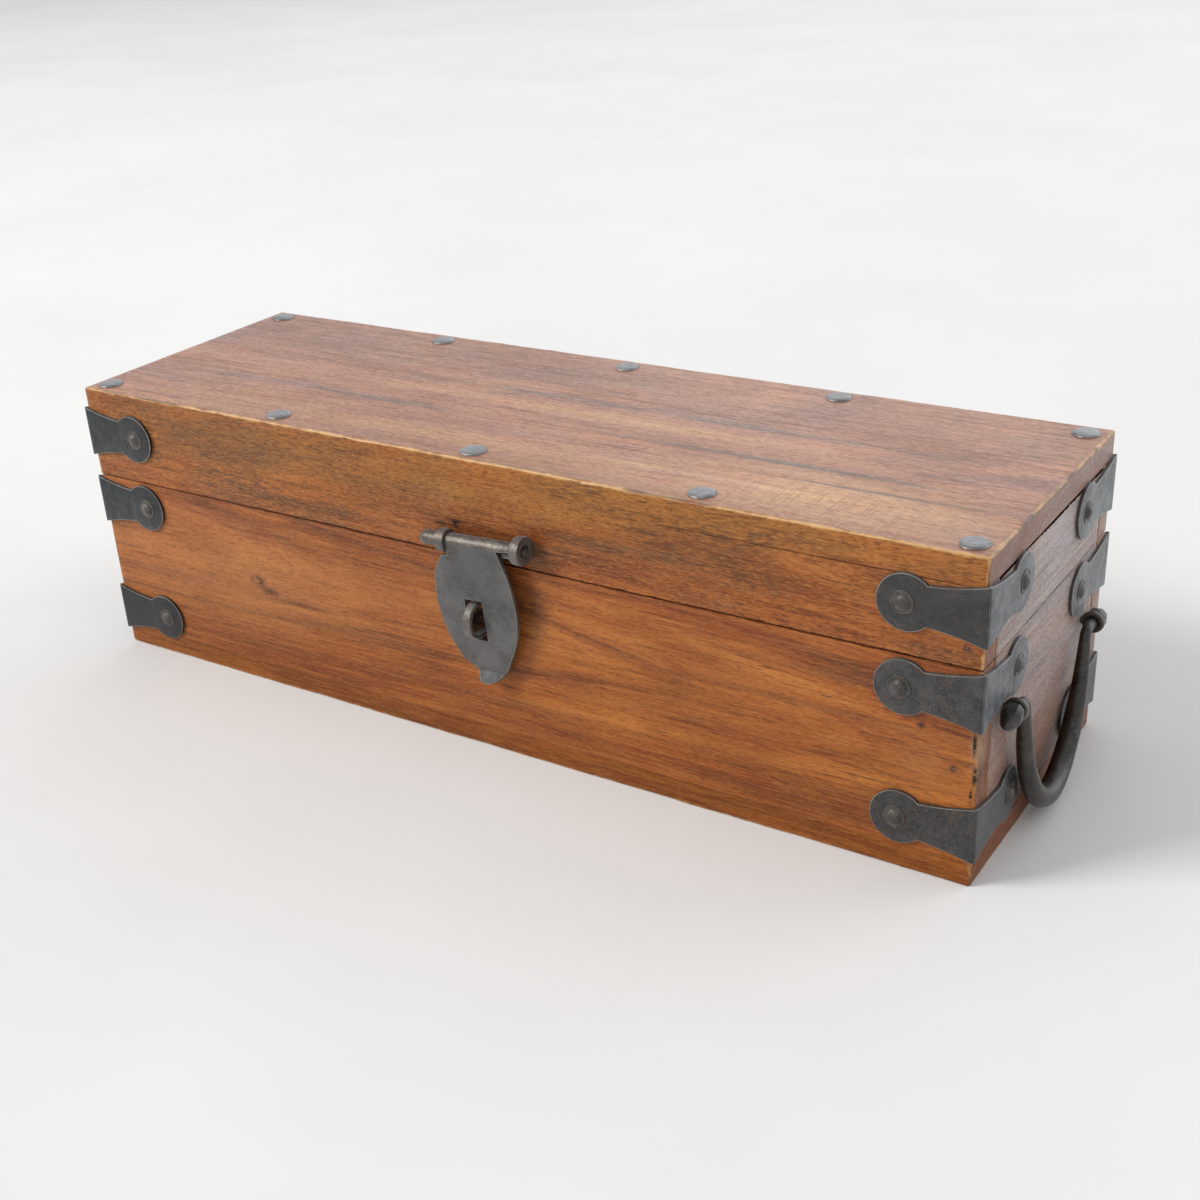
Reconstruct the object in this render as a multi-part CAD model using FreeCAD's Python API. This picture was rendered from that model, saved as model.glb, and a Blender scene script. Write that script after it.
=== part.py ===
import FreeCAD, Part
import math
import os

# A small hardwood box bound with blackened iron: butted boards, a lid with a nailed top,
# three rows of corner straps, a forged hasp over a staple, a drop bail at each end and
# two strap hinges on the back.  Lengths are millimetres and angles are degrees.
# The origin is the centre of the underside: +X runs to the right along the box,
# -Y is the front, which carries the hasp, and +Z is up.

V = FreeCAD.Vector
ORIGIN = V(0, 0, 0)
X_AXIS, Y_AXIS, Z_AXIS = V(1, 0, 0), V(0, 1, 0), V(0, 0, 1)

# Box
box_length = 500.0
box_depth = 155.0
box_height = 151.0
wall_thickness = 13.0
bottom_thickness = 12.0
top_thickness = 13.5
lid_height = 49.0       # the lid as a whole, its top board included
seam_gap = 0.4
edge_softening = 1.2
fit = 0.05              # clearance round a shank or pin in its own hole
moving_gap = 0.4        # clearance between iron faces that pass each other
cut_past = 1.0          # how far a cutting shape runs on past what it cuts
seam_height = box_height - lid_height

# Corner straps: sheet iron bent round a corner, each leaf waisted and ending in a disc
strap_thickness = 1.7
strap_root_half = 13.5
strap_waist_half = 9.0
strap_disc_radius = 12.7
strap_front_reach = 34.0
strap_end_reach = 38.0
lid_strap_drop = {"left": 24.0, "right": 25.0}      # from the top of the lid
upper_strap_drop = {"left": 14.0, "right": 14.0}    # from the seam
lower_strap_rise = {"left": 22.6, "right": 26.0}    # from the floor
strap_heights = {
    "lid": {side: box_height - drop for side, drop in lid_strap_drop.items()},
    "upper": {side: seam_height - drop for side, drop in upper_strap_drop.items()},
    "lower": lower_strap_rise,
}

# Nails with square shanks
strap_nail = {"head_radius": 4.5, "head_height": 2.1, "shank": 2.4, "bite": 10.5, "tiers": 3}
top_nail = {"head_radius": 6.35, "head_height": 1.3, "shank": 3.0, "bite": 29.0, "tiers": 3}
hinge_nail = {"head_radius": 3.4, "head_height": 1.1, "shank": 2.2, "bite": 10.0, "tiers": 2}
nail_facets = 8
top_nails_per_side = 5
top_nail_end_inset = 10.0
top_nail_edge_inset = 10.0

# Hasp: a leaf of plate rolled into a barrel on a headed pin between two eyes
hasp_x = 6.5
hasp_axis_rise = 10.4   # above the seam
hasp_axis_height = seam_height + hasp_axis_rise
hasp_standoff = 6.5
hasp_lean = 2.5         # the pin's right end sits higher
hasp_hang = 4.0         # the leaf hangs in towards the box
hasp_thickness = 1.8
hasp_pin_radius = 2.05
hasp_barrel_left = 12.0
hasp_barrel_right = 25.7
hasp_roll_angle = 298.0
leaf_neck_half = 14.2   # the leaf's left side just under the eye, then how it flares
leaf_flare_half = 18.9
leaf_flare_depth = 13.5
leaf_flare_end = 25.0
leaf_root_half = 16.8
leaf_widest_half = 22.9
leaf_widest_depth = 31.0
leaf_shoulder_half = 11.8
leaf_shoulder_depth = 62.5
leaf_tab_half = 6.2
leaf_tab_depth = 67.5
leaf_length = 74.0
leaf_bend_depth = 66.0
leaf_bend_angle = 30.0
slot_width = 10.0
slot_height = 21.0
slot_depth = 38.5       # from the pin down to the middle of the slot
slot_shift = -1.4
eye_wire_radius = 1.8
pin_tail = 10.0
pin_tail_radius = 2.8
pin_stub = 1.5
tail_facets = 12

# Staple: flat bar bent into a hoop that stands through the hasp's slot
staple_width = 4.5
staple_bar = 2.2
staple_hoop_radius = 9.3
staple_reach = 15.8

# Clenched tails of eyes and staple, bent over on the inside of the boards
tail_length = 9.0
tail_thickness = 1.8
eye_facets = 14       # facets round an eye
wire_facets = 8         # facets round the bar an eye is bent from

# Drop bails
bail_half_span = 39.5
bail_grip_radius = 5.2
bail_floor_clear = 2.8
bail_drop = 31.0        # from the seam to the eyes
bail_height = seam_height - bail_drop
bail_depth = bail_height - bail_grip_radius - bail_floor_clear
bail_shape = 1.86       # 2 is an ellipse, less is more pointed
bail_journal_radius = 2.5
bail_bend_radius = 4.5
bail_facets = 12
bail_tilt = 2.0         # the arms rest on the lower straps
bail_standoff = 5.5
bail_lean = {"right": 2.8, "left": 0.0}
bail_eye_spacing = 101.0
bail_eye_slack = 0.4
bail_eye_wire_radius = 1.2
bail_eye_shank_half = 1.6
knob_width = 8.8
knob_corner_radius = 4.9
knob_collar = 4.2
knob_point = 5.6
knob_tip_width = 2.4
knob_play = 1.2
knob_droop = {"right": 16.0, "left": 0.0}   # the front right knob was bent down in use
knob_elbow = 0.8        # how much further out a bent knob starts

# Hinges: a leaf like the straps' on each side of the seam, and a pin through knuckles
hinge_x = 150.0
hinge_leaf_thickness = 1.6
hinge_pin_radius = 1.6
hinge_pin_head_radius = 2.6
hinge_pin_head_height = 1.2
hinge_knuckle_width = 10.2
barrel_facets = 12
hinge_knuckle_clear = 0.35
hinge_chest_reach = 32.0
hinge_tip_margin = 7.5  # below the top board
hinge_lid_reach = lid_height - top_thickness - hinge_tip_margin
hinge_root_nail = 11.0

# Worked out from the values above
half_length = box_length / 2
half_depth = box_depth / 2
body_top = seam_height - seam_gap / 2
lid_bottom = seam_height + seam_gap / 2
rim_top = box_height - top_thickness
barrel_bore = hasp_pin_radius + fit
barrel_radius = barrel_bore + hasp_thickness
eye_outer_radius = barrel_bore + 2 * eye_wire_radius
hinge_bore = hinge_pin_radius + fit
hinge_barrel_radius = hinge_bore + hinge_leaf_thickness
hinge_axis_out = hinge_barrel_radius + hinge_knuckle_clear
bail_eye_hole = bail_journal_radius + bail_eye_slack

nodes = {}              # lists of solids, by node name
holes = {}              # hole tools for each board, by node name


# ---- placing and small helpers ----------------------------------------------------------

def place(shape, side, along, height, lean=0.0):
    """Puts ironwork drawn on a wall in the XZ plane, with -Y outwards, on a side of the box."""
    turn = {"front": 0, "right": 90, "back": 180, "left": -90}[side]
    seat = {
        "front": V(along, -half_depth, height),
        "back": V(along, half_depth, height),
        "right": V(half_length, along, height),
        "left": V(-half_length, along, height),
    }[side]
    placed = shape.copy()
    placed.rotate(ORIGIN, -Y_AXIS, lean)
    placed.rotate(ORIGIN, Z_AXIS, turn)
    placed.translate(seat)
    return placed


def box_between(low, high):
    size = V(*high) - V(*low)
    return Part.makeBox(size.x, size.y, size.z, V(*low))


def line(a, b):
    return Part.LineSegment(a, b).toShape()


def arc(a, middle, b):
    return Part.Arc(a, middle, b).toShape()


def face_of(edges):
    return Part.Face(Part.Wire(edges))


def fused(first, *others):
    return first.fuse(list(others)).removeSplitter()


def add(node, solid):
    nodes.setdefault(node, []).append(solid)


def add_hole(node, tool):
    holes.setdefault(node, []).append(tool)


def skinned(rings, closed=False, split=False):
    """A solid with flat facets between rings of points.  A ring of one point ends it in a
    fan; a closed one runs round to its first ring again and has no ends.  Facets that
    would not be flat are split into triangles."""
    pairs = list(zip(rings, rings[1:] + rings[:1]))
    if not closed:
        pairs.pop()
    count = max(len(ring) for ring in rings)
    outlines = []
    for a, b in pairs:
        for i in range(count):
            j = (i + 1) % count
            if split:
                outlines += [[a[i], a[j], b[j]], [a[i], b[j], b[i]]]
                continue
            outline = [a[i], a[j]] if len(a) > 1 else [a[0]]
            outline += [b[j], b[i]] if len(b) > 1 else [b[0]]
            outlines.append(outline)
    if not closed:
        outlines += [ring for ring in (rings[0], rings[-1]) if len(ring) > 1]
    faces = [Part.Face(Part.makePolygon(o + o[:1])) for o in outlines]
    solid = Part.Solid(Part.Shell(faces))
    if solid.Volume < 0:
        solid.reverse()
    return solid


# ---- nails ------------------------------------------------------------------------------

def nail(size, under_head=0.0):
    """A forged nail driven along +Y, its hammered head seated at y = -under_head."""
    radius, height, half = size["head_radius"], size["head_height"], size["shank"] / 2
    rings = []
    for tier in range(size["tiers"]):
        across = math.cos(math.pi / 2 * tier / size["tiers"])
        rise = math.sin(math.pi / 2 * tier / size["tiers"])
        rings.append([V(math.cos(a) * across * radius, -under_head - rise * height,
                        math.sin(a) * across * radius)
                      for a in (2 * math.pi * k / nail_facets for k in range(nail_facets))])
    rings.append([V(0, -under_head - height, 0)])
    shank = box_between((-half, -under_head - 0.1, -half), (half, size["bite"], half))
    return fused(skinned(rings), shank)


def nail_hole(size, under_head=0.0):
    half = size["shank"] / 2 + fit
    return box_between((-half, -under_head - fit, -half), (half, size["bite"] + fit, half))


# ---- straps -----------------------------------------------------------------------------

def strap_outline(reach):
    """A waisted leaf in the XZ plane: its root on x = 0 and its disc centred at x = reach."""
    neck = reach - math.sqrt(strap_disc_radius ** 2 - strap_waist_half ** 2)
    root_top, root_low = V(0, 0, strap_root_half), V(0, 0, -strap_root_half)
    neck_top, neck_low = V(neck, 0, strap_waist_half), V(neck, 0, -strap_waist_half)
    return face_of([
        line(root_low, root_top),
        line(root_top, neck_top),
        arc(neck_top, V(reach + strap_disc_radius, 0, 0), neck_low),
        line(neck_low, root_low),
    ])


def corner_strap():
    """The strap of the front right corner, with the corner's edge on the Z axis."""
    front = strap_outline(strap_front_reach).extrude(V(0, strap_thickness, 0))
    front.rotate(ORIGIN, Z_AXIS, 180)
    end = strap_outline(strap_end_reach).extrude(V(0, strap_thickness, 0))
    end.rotate(ORIGIN, Z_AXIS, 90)
    end.translate(V(strap_thickness, 0, 0))
    turns = (V(0, 0, 0), V(0, -strap_thickness, 0),
             V(math.sin(math.pi / 6), -math.cos(math.pi / 6), 0) * strap_thickness,
             V(math.sin(math.pi / 3), -math.cos(math.pi / 3), 0) * strap_thickness,
             V(strap_thickness, 0, 0), V(0, 0, 0))
    bend = Part.Face(Part.makePolygon(turns)).extrude(V(0, 0, 2 * strap_root_half))
    bend.translate(V(0, 0, -strap_root_half))
    strap = fused(front, end, bend)
    front_hole = nail_hole(strap_nail, strap_thickness)
    front_hole.translate(V(-strap_front_reach, 0, 0))
    end_hole = nail_hole(strap_nail, strap_thickness)
    end_hole.rotate(ORIGIN, Z_AXIS, 90)
    end_hole.translate(V(0, strap_end_reach, 0))
    return strap.cut([front_hole, end_hole])


def board_behind(row, side):
    """The node name of the board that a strap of this row is nailed to on this side."""
    if row == "lid":
        return {"front": "lid_front_rail", "back": "lid_back_rail",
                "right": "lid_right_rail", "left": "lid_left_rail"}[side]
    return {"front": "front_board", "back": "back_board",
            "right": "right_end_board", "left": "left_end_board"}[side]


def add_straps():
    pattern = corner_strap()
    for row, heights in strap_heights.items():
        owner = "lid" if row == "lid" else "body"
        for end in ("left", "right"):
            toward_x = 1 if end == "right" else -1
            for face in ("front", "back"):
                toward_y = -1 if face == "front" else 1
                strap = pattern.copy()
                if end == "left":
                    strap = strap.mirror(ORIGIN, X_AXIS)
                if face == "back":
                    strap = strap.mirror(ORIGIN, Y_AXIS)
                height = heights[end]
                strap.translate(V(toward_x * half_length, toward_y * half_depth, height))
                add("{}_straps_{}".format(row, face), strap)
                seats = (
                    (face, toward_x * (half_length - strap_front_reach)),
                    (end, toward_y * (half_depth - strap_end_reach)),
                )
                for side, along in seats:
                    add(owner + "_strap_nails",
                        place(nail(strap_nail, strap_thickness), side, along, height))
                    add_hole(board_behind(row, side),
                             place(nail_hole(strap_nail), side, along, height))


def add_top_nails():
    first = half_length - top_nail_end_inset
    pitch = 2 * first / (top_nails_per_side - 1)
    for toward_y in (-1, 1):
        for index in range(top_nails_per_side):
            spot = V(-first + index * pitch,
                     toward_y * (half_depth - top_nail_edge_inset), box_height)
            driven = nail(top_nail)
            driven.rotate(ORIGIN, X_AXIS, -90)
            driven.translate(spot)
            add("lid_top_nails", driven)
            hole = nail_hole(top_nail)
            hole.rotate(ORIGIN, X_AXIS, -90)
            hole.translate(spot)
            add_hole("lid_top_board", hole)
            add_hole("lid_front_rail" if toward_y < 0 else "lid_back_rail", hole)


# ---- eyes that are clenched through a board ---------------------------------------------

def clenched_eye(hole_radius, wire_radius, standoff, shank_half):
    """A hammered wire eye with its hole along X, standing out of a wall by standoff.  Its
    legs go through the board together, one bent up and one bent down on the inside."""
    ring_radius = hole_radius + wire_radius
    spread = 1 / math.cos(math.pi / eye_facets)
    corner = wire_radius / math.cos(math.pi / wire_facets)
    rings = []
    for k in range(eye_facets):
        around = 2 * math.pi * k / eye_facets
        ring = []
        for m in range(wire_facets):
            across = 2 * math.pi * (m + 0.5) / wire_facets
            out = (ring_radius + corner * math.sin(across)) * spread
            ring.append(V(corner * math.cos(across), out * math.cos(around) - standoff,
                          out * math.sin(around)))
        rings.append(ring)
    shank = box_between((-shank_half, ring_radius - standoff, -shank_half),
                        (shank_half, wall_thickness + tail_thickness / 2, shank_half))
    tails = box_between((-shank_half, wall_thickness, -tail_length),
                        (shank_half, wall_thickness + tail_thickness, tail_length))
    return fused(skinned(rings, closed=True), shank, tails)


def eye_hole(shank_half):
    half = shank_half + fit
    return box_between((-half, -cut_past, -half), (half, wall_thickness + cut_past, half))


# ---- hasp -------------------------------------------------------------------------------

def leaf_outline():
    """The hasp's leaf from the front: two flowing arcs a side, a shoulder and a round tip."""
    def flow(end_half, end_depth, at_depth):
        drop = leaf_widest_half - end_half
        rise = abs(end_depth - leaf_widest_depth)
        radius = (drop ** 2 + rise ** 2) / (2 * drop)
        offset = at_depth - leaf_widest_depth
        return leaf_widest_half - radius + math.sqrt(radius ** 2 - offset ** 2)

    upper = leaf_widest_depth / 2
    lower = (leaf_widest_depth + leaf_shoulder_depth) / 2
    upper_half = flow(leaf_root_half, 0, upper)
    lower_half = flow(leaf_shoulder_half, leaf_shoulder_depth, lower)
    edges = [line(V(-leaf_root_half, 0, 0), V(leaf_root_half, 0, 0))]
    for s in (1, -1):
        root = V(s * leaf_root_half, 0, 0)
        widest = V(s * leaf_widest_half, 0, -leaf_widest_depth)
        shoulder = V(s * leaf_shoulder_half, 0, -leaf_shoulder_depth)
        tab = V(s * leaf_tab_half, 0, -leaf_tab_depth)
        edges += [
            arc(root, V(s * upper_half, 0, -upper), widest),
            arc(widest, V(s * lower_half, 0, -lower), shoulder),
            line(shoulder, tab),
        ]
    edges.append(arc(V(leaf_tab_half, 0, -leaf_tab_depth), V(0, 0, -leaf_length),
                     V(-leaf_tab_half, 0, -leaf_tab_depth)))
    return Part.Face(Part.Wire(Part.__sortEdges__(edges)))


def hasp_plate():
    """Drawn hanging straight down from the pin, which lies along X at y = -hasp_standoff."""
    front = -(hasp_standoff + barrel_radius)
    rear = front + hasp_thickness
    bend = math.radians(leaf_bend_angle)
    tab_run = V(0, -math.sin(bend), -math.cos(bend)) * (leaf_length - leaf_bend_depth + 2)
    through = V(0, math.cos(bend), -math.sin(bend)) * hasp_thickness
    half_through = V(0, math.cos(bend / 2), -math.sin(bend / 2)) * hasp_thickness
    bend_front = V(0, front, -leaf_bend_depth)
    section = face_of([
        line(V(0, front, 0), bend_front),
        line(bend_front, bend_front + tab_run),
        line(bend_front + tab_run, bend_front + tab_run + through),
        line(bend_front + tab_run + through, bend_front + through),
        arc(bend_front + through, bend_front + half_through, V(0, rear, -leaf_bend_depth)),
        line(V(0, rear, -leaf_bend_depth), V(0, rear, 0)),
        line(V(0, rear, 0), V(0, front, 0)),
    ])
    section.translate(V(-leaf_widest_half, 0, 0))
    sheet = section.extrude(V(2 * leaf_widest_half, 0, 0))
    outline = leaf_outline()
    outline.translate(V(0, front - leaf_length, 0))
    leaf = sheet.common(outline.extrude(V(0, 2 * leaf_length, 0)))

    slot = box_between(
        (slot_shift - slot_width / 2, front - cut_past, -slot_depth - slot_height / 2),
        (slot_shift + slot_width / 2, rear + cut_past, -slot_depth + slot_height / 2))
    clear = eye_outer_radius + moving_gap
    beyond = leaf_widest_half + cut_past
    notch = face_of([
        line(V(-hasp_barrel_left, 0, cut_past), V(-hasp_barrel_left, 0, -clear)),
        line(V(-hasp_barrel_left, 0, -clear), V(-leaf_neck_half, 0, -clear)),
        arc(V(-leaf_neck_half, 0, -clear), V(-leaf_flare_half, 0, -leaf_flare_depth),
            V(-leaf_widest_half, 0, -leaf_flare_end)),
        line(V(-leaf_widest_half, 0, -leaf_flare_end), V(-beyond, 0, -leaf_flare_end)),
        line(V(-beyond, 0, -leaf_flare_end), V(-beyond, 0, cut_past)),
        line(V(-beyond, 0, cut_past), V(-hasp_barrel_left, 0, cut_past)),
    ])
    notch.translate(V(0, front - leaf_length, 0))
    leaf = leaf.cut([slot, notch.extrude(V(0, 2 * leaf_length, 0))])

    length = hasp_barrel_left + hasp_barrel_right
    start = V(-hasp_barrel_left, -hasp_standoff, 0)
    tube = Part.makeCylinder(barrel_radius, length, start, X_AXIS)
    mouth = math.radians(360 - hasp_roll_angle)
    far = 2 * barrel_radius
    corners = [start + V(0, -far * math.cos(k * mouth / 2), -far * math.sin(k * mouth / 2))
               for k in range(3)]
    wedge = face_of([line(start, corners[0]), line(corners[0], corners[1]),
                     line(corners[1], corners[2]), line(corners[2], start)])
    bore = Part.makeCylinder(barrel_bore, length, start, X_AXIS)
    roll = tube.cut([wedge.extrude(V(length, 0, 0)), bore])
    plate = fused(roll, leaf)
    plate.rotate(V(0, -hasp_standoff, 0), X_AXIS, hasp_hang)
    return plate


def eye_centres():
    """Distances of the two eyes from the leaf's middle, left then right."""
    out = eye_wire_radius + moving_gap
    return -hasp_barrel_left - out, hasp_barrel_right + out


def hasp_pin():
    left, right = eye_centres()
    left_face, right_face = left - eye_wire_radius, right + eye_wire_radius
    centre_line = V(0, -hasp_standoff, 0)
    shank = Part.makeCylinder(hasp_pin_radius, right_face + pin_stub - left_face,
                              centre_line + V(left_face, 0, 0), X_AXIS)
    rings = []
    for back, across in ((0, 1.0), (0.72, 0.92), (0.9, 0.7), (1.0, 0.3)):
        rings.append([centre_line + V(left_face - back * pin_tail,
                                      math.cos(a) * across * pin_tail_radius,
                                      math.sin(a) * across * pin_tail_radius)
                      for a in (2 * math.pi * k / tail_facets for k in range(tail_facets))])
    return fused(shank, skinned(rings))


def staple_hoop():
    """Flat bar along X = staple_width: two legs, a half round, and tails bent up and down."""
    centre = V(0, staple_hoop_radius - staple_reach, 0)
    inner_radius = staple_hoop_radius - staple_bar
    inside = wall_thickness

    def loop(radius, leg_end):
        return face_of([
            line(V(0, leg_end, -radius), V(0, centre.y, -radius)),
            arc(V(0, centre.y, -radius), centre + V(0, -radius, 0), V(0, centre.y, radius)),
            line(V(0, centre.y, radius), V(0, leg_end, radius)),
            line(V(0, leg_end, radius), V(0, leg_end, -radius)),
        ])

    back = inside + tail_thickness
    hoop = loop(staple_hoop_radius, back).cut(loop(inner_radius, back + cut_past))
    hoop.translate(V(-staple_width / 2, 0, 0))
    hoop = hoop.extrude(V(staple_width, 0, 0))
    outer = staple_hoop_radius + tail_length
    upper = box_between((-staple_width / 2, inside, inner_radius),
                        (staple_width / 2, back, outer))
    lower = box_between((-staple_width / 2, inside, -outer),
                        (staple_width / 2, back, -inner_radius))
    return fused(hoop, upper, lower)


def staple_holes():
    half = staple_width / 2 + fit
    inner, outer = staple_hoop_radius - staple_bar - fit, staple_hoop_radius + fit
    upper = box_between((-half, -cut_past, inner), (half, wall_thickness + cut_past, outer))
    lower = box_between((-half, -cut_past, -outer), (half, wall_thickness + cut_past, -inner))
    return [upper, lower]


def on_hasp(shape, right=0.0, up=0.0):
    """Puts a shape on the front in the hasp's own frame, whose origin is on the pin."""
    moved = shape.copy()
    moved.translate(V(right, 0, up))
    return place(moved, "front", hasp_x, hasp_axis_height, hasp_lean)


def add_hasp():
    add("hasp_plate", on_hasp(hasp_plate()))
    add("hasp_pin", on_hasp(hasp_pin()))
    eye = clenched_eye(barrel_bore, eye_wire_radius, hasp_standoff, eye_wire_radius)
    for x in eye_centres():
        add("hasp_eyes", on_hasp(eye, x))
        add_hole("lid_front_rail", on_hasp(eye_hole(eye_wire_radius), x))
    add("hasp_staple", on_hasp(staple_hoop(), slot_shift, -slot_depth))
    for tool in staple_holes():
        add_hole("front_board", on_hasp(tool, slot_shift, -slot_depth))


# ---- bails ------------------------------------------------------------------------------

def bar_section(centre, tangent, radius):
    """A many-sided ring square to a path in the XZ plane, started on the same side."""
    sideways = tangent.cross(Y_AXIS)
    return [centre + (Y_AXIS * math.cos(a) + sideways * math.sin(a)) * radius
            for a in (2 * math.pi * k / bail_facets for k in range(bail_facets))]


def bail(droop=0.0):
    """Hangs from the X axis: journals through the eyes, knobs outside them, and one bar
    that swells from the journals to the grip along a pointed half ellipse.  droop is how
    far the knob at the -X end is bent down."""
    drop = bail_depth - bail_bend_radius

    def on_curve(angle):
        c, s = math.cos(angle), math.sin(angle)
        power = 2 / bail_shape
        return V(-bail_half_span * math.copysign(abs(c) ** power, c), 0,
                 -bail_bend_radius - drop * abs(s) ** power)

    sections = []
    bends = 3
    for k in range(bends):
        angle = math.radians(90 * k / bends)
        middle = V(-bail_half_span - bail_bend_radius * (1 - math.sin(angle)), 0,
                   -bail_bend_radius * (1 - math.cos(angle)))
        sections.append((middle, V(math.cos(angle), 0, -math.sin(angle)),
                         bail_journal_radius))
    arc_facets = 14
    small = 0.001
    for k in range(arc_facets // 2 + 1):
        angle = math.pi * k / arc_facets
        middle = on_curve(angle)
        tangent = on_curve(angle + small) - on_curve(max(angle - small, 0))
        tangent.normalize()
        radius = (bail_journal_radius + (bail_grip_radius - bail_journal_radius)
                  * math.sin(angle) ** 0.8)
        sections.append((middle, tangent, radius))
    mirrored = [(V(-m.x, 0, m.z), V(t.x, 0, -t.z), r) for m, t, r in sections[-2::-1]]
    bar = skinned([bar_section(*s) for s in sections + mirrored], split=True)

    eye_at = bail_eye_spacing / 2
    bend_end = bail_half_span + bail_bend_radius
    knob_start = eye_at + bail_eye_wire_radius + knob_play
    journals, knobs = [], []
    for s in (1, -1):
        bent = s < 0 and droop > 0
        start = knob_start + (knob_elbow if bent else 0.0)
        journals.append(Part.makeCylinder(bail_journal_radius, start + 1 - bend_end,
                                          V(s * bend_end, 0, 0), X_AXIS * s))
        knob = knob_head()
        if bent:
            knob.rotate(ORIGIN, Y_AXIS, droop)
        if s < 0:
            knob.rotate(ORIGIN, Z_AXIS, 180)
        knob.translate(V(s * start, 0, 0))
        knobs.append(knob)
    whole = bar.fuse(journals + knobs)
    whole.rotate(ORIGIN, X_AXIS, -bail_tilt)
    whole.translate(V(0, -bail_standoff, 0))
    return whole


def knob_head():
    """A forged square head along +X, its corners knocked off, with a blunt point."""
    face = math.sqrt(knob_corner_radius ** 2 - (knob_width / 2) ** 2)
    rings = []
    for x, width in ((0, knob_width), (knob_collar, knob_width),
                     (knob_collar + knob_point, knob_tip_width)):
        h = width / 2
        k = face * width / knob_width
        rings.append([V(x, y, z) for y, z in ((h, -k), (h, k), (k, h), (-k, h),
                                              (-h, k), (-h, -k), (-k, -h), (k, -h))])
    return skinned(rings)


def add_bails():
    eye = clenched_eye(bail_eye_hole, bail_eye_wire_radius, bail_standoff,
                       bail_eye_shank_half)
    for side in ("left", "right"):
        lean = -bail_lean[side] if side == "right" else bail_lean[side]
        add(side + "_bail", place(bail(knob_droop[side]), side, 0, bail_height, lean))
        for s in (-1, 1):
            shift = V(s * bail_eye_spacing / 2, 0, 0)
            moved = eye.copy()
            moved.translate(shift)
            add(side + "_bail_eyes", place(moved, side, 0, bail_height, lean))
            tool = eye_hole(bail_eye_shank_half)
            tool.translate(shift)
            add_hole(side + "_end_board", place(tool, side, 0, bail_height, lean))


# ---- hinges -----------------------------------------------------------------------------

def hinge_leaf(reach, knuckles, others, upward):
    """One leaf on the wall, -Y outwards and the hinge pin along X through the origin's
    height.  knuckles are the stretches of X that it rolls, others those it keeps clear of."""
    leaf = strap_outline(reach).extrude(V(0, -hinge_leaf_thickness, 0))
    leaf.rotate(ORIGIN, Y_AXIS, -90)
    if not upward:
        leaf.rotate(ORIGIN, Y_AXIS, 180)
    sign = 1 if upward else -1
    clear = hinge_barrel_radius + moving_gap
    for low, high in others:
        leaf = leaf.cut(box_between(
            (low - moving_gap, -hinge_leaf_thickness - cut_past, -clear),
            (high + moving_gap, cut_past, clear)))
    rolls, bores = [], []
    for low, high in knuckles:
        rings = [[V(x, math.cos(a) * hinge_barrel_radius - hinge_axis_out,
                    math.sin(a) * hinge_barrel_radius)
                  for a in (2 * math.pi * k / barrel_facets for k in range(barrel_facets))]
                 for x in (low, high)]
        rolls.append(skinned(rings))
        bores.append(Part.makeCylinder(hinge_bore, high - low, V(low, -hinge_axis_out, 0),
                                       X_AXIS))
    for distance in (hinge_root_nail, reach):
        hole = nail_hole(hinge_nail, hinge_leaf_thickness)
        hole.translate(V(0, 0, sign * distance))
        bores.append(hole)
    return fused(leaf, *rolls).cut(bores)


def hinge_pin():
    half = strap_root_half + moving_gap
    axis = V(-half, -hinge_axis_out, 0)
    shank = Part.makeCylinder(hinge_pin_radius, 2 * half, axis, X_AXIS)
    heads = []
    for s in (-1, 1):
        rings = []
        for out, across in ((0, 1.0), (0.5, 0.96), (1.0, 0.6)):
            rings.append([V(s * (half + out * hinge_pin_head_height),
                            math.cos(a) * across * hinge_pin_head_radius - hinge_axis_out,
                            math.sin(a) * across * hinge_pin_head_radius)
                          for a in (2 * math.pi * k / nail_facets for k in range(nail_facets))])
        heads.append(skinned(rings))
    return fused(shank, *heads)


def add_hinges():
    middle = hinge_knuckle_width / 2
    lid_knuckle = [(-middle, middle)]
    edge = middle + moving_gap
    chest_knuckles = [(-strap_root_half, -edge), (edge, strap_root_half)]
    chest_leaf = hinge_leaf(hinge_chest_reach, chest_knuckles, lid_knuckle, False)
    lid_leaf = hinge_leaf(hinge_lid_reach, lid_knuckle, chest_knuckles, True)
    for x in (-hinge_x, hinge_x):
        add("hinge_chest_leaves", place(chest_leaf, "back", x, seam_height))
        add("hinge_lid_leaves", place(lid_leaf, "back", x, seam_height))
        add("hinge_pins", place(hinge_pin(), "back", x, seam_height))
        for owner, board, reach, sign in (
                ("chest", "back_board", hinge_chest_reach, -1),
                ("lid", "lid_back_rail", hinge_lid_reach, 1)):
            for distance in (hinge_root_nail, reach):
                height = seam_height + sign * distance
                add("hinge_{}_nails".format(owner),
                    place(nail(hinge_nail, hinge_leaf_thickness), "back", x, height))
                add_hole(board, place(nail_hole(hinge_nail), "back", x, height))


# ---- boards -----------------------------------------------------------------------------

def board(node, low, high, soft_edges=None):
    """A board between two corners, its outer edges softened, with the holes cut in it."""
    solid = box_between(low, high)
    if soft_edges:
        chosen = [e for e in solid.Edges if soft_edges(e.CenterOfMass)]
        solid = solid.makeChamfer(edge_softening, chosen)
    if node in holes:
        solid = solid.cut(holes[node])
    add(node, solid)


def is_corner_post(p):
    """True for the middle of an upright edge at a corner of the box."""
    return (abs(abs(p.x) - half_length) < 1e-6) and (abs(abs(p.y) - half_depth) < 1e-6)


def is_top_or_corner(p):
    return is_corner_post(p) or abs(p.z - box_height) < 1e-6


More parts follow.
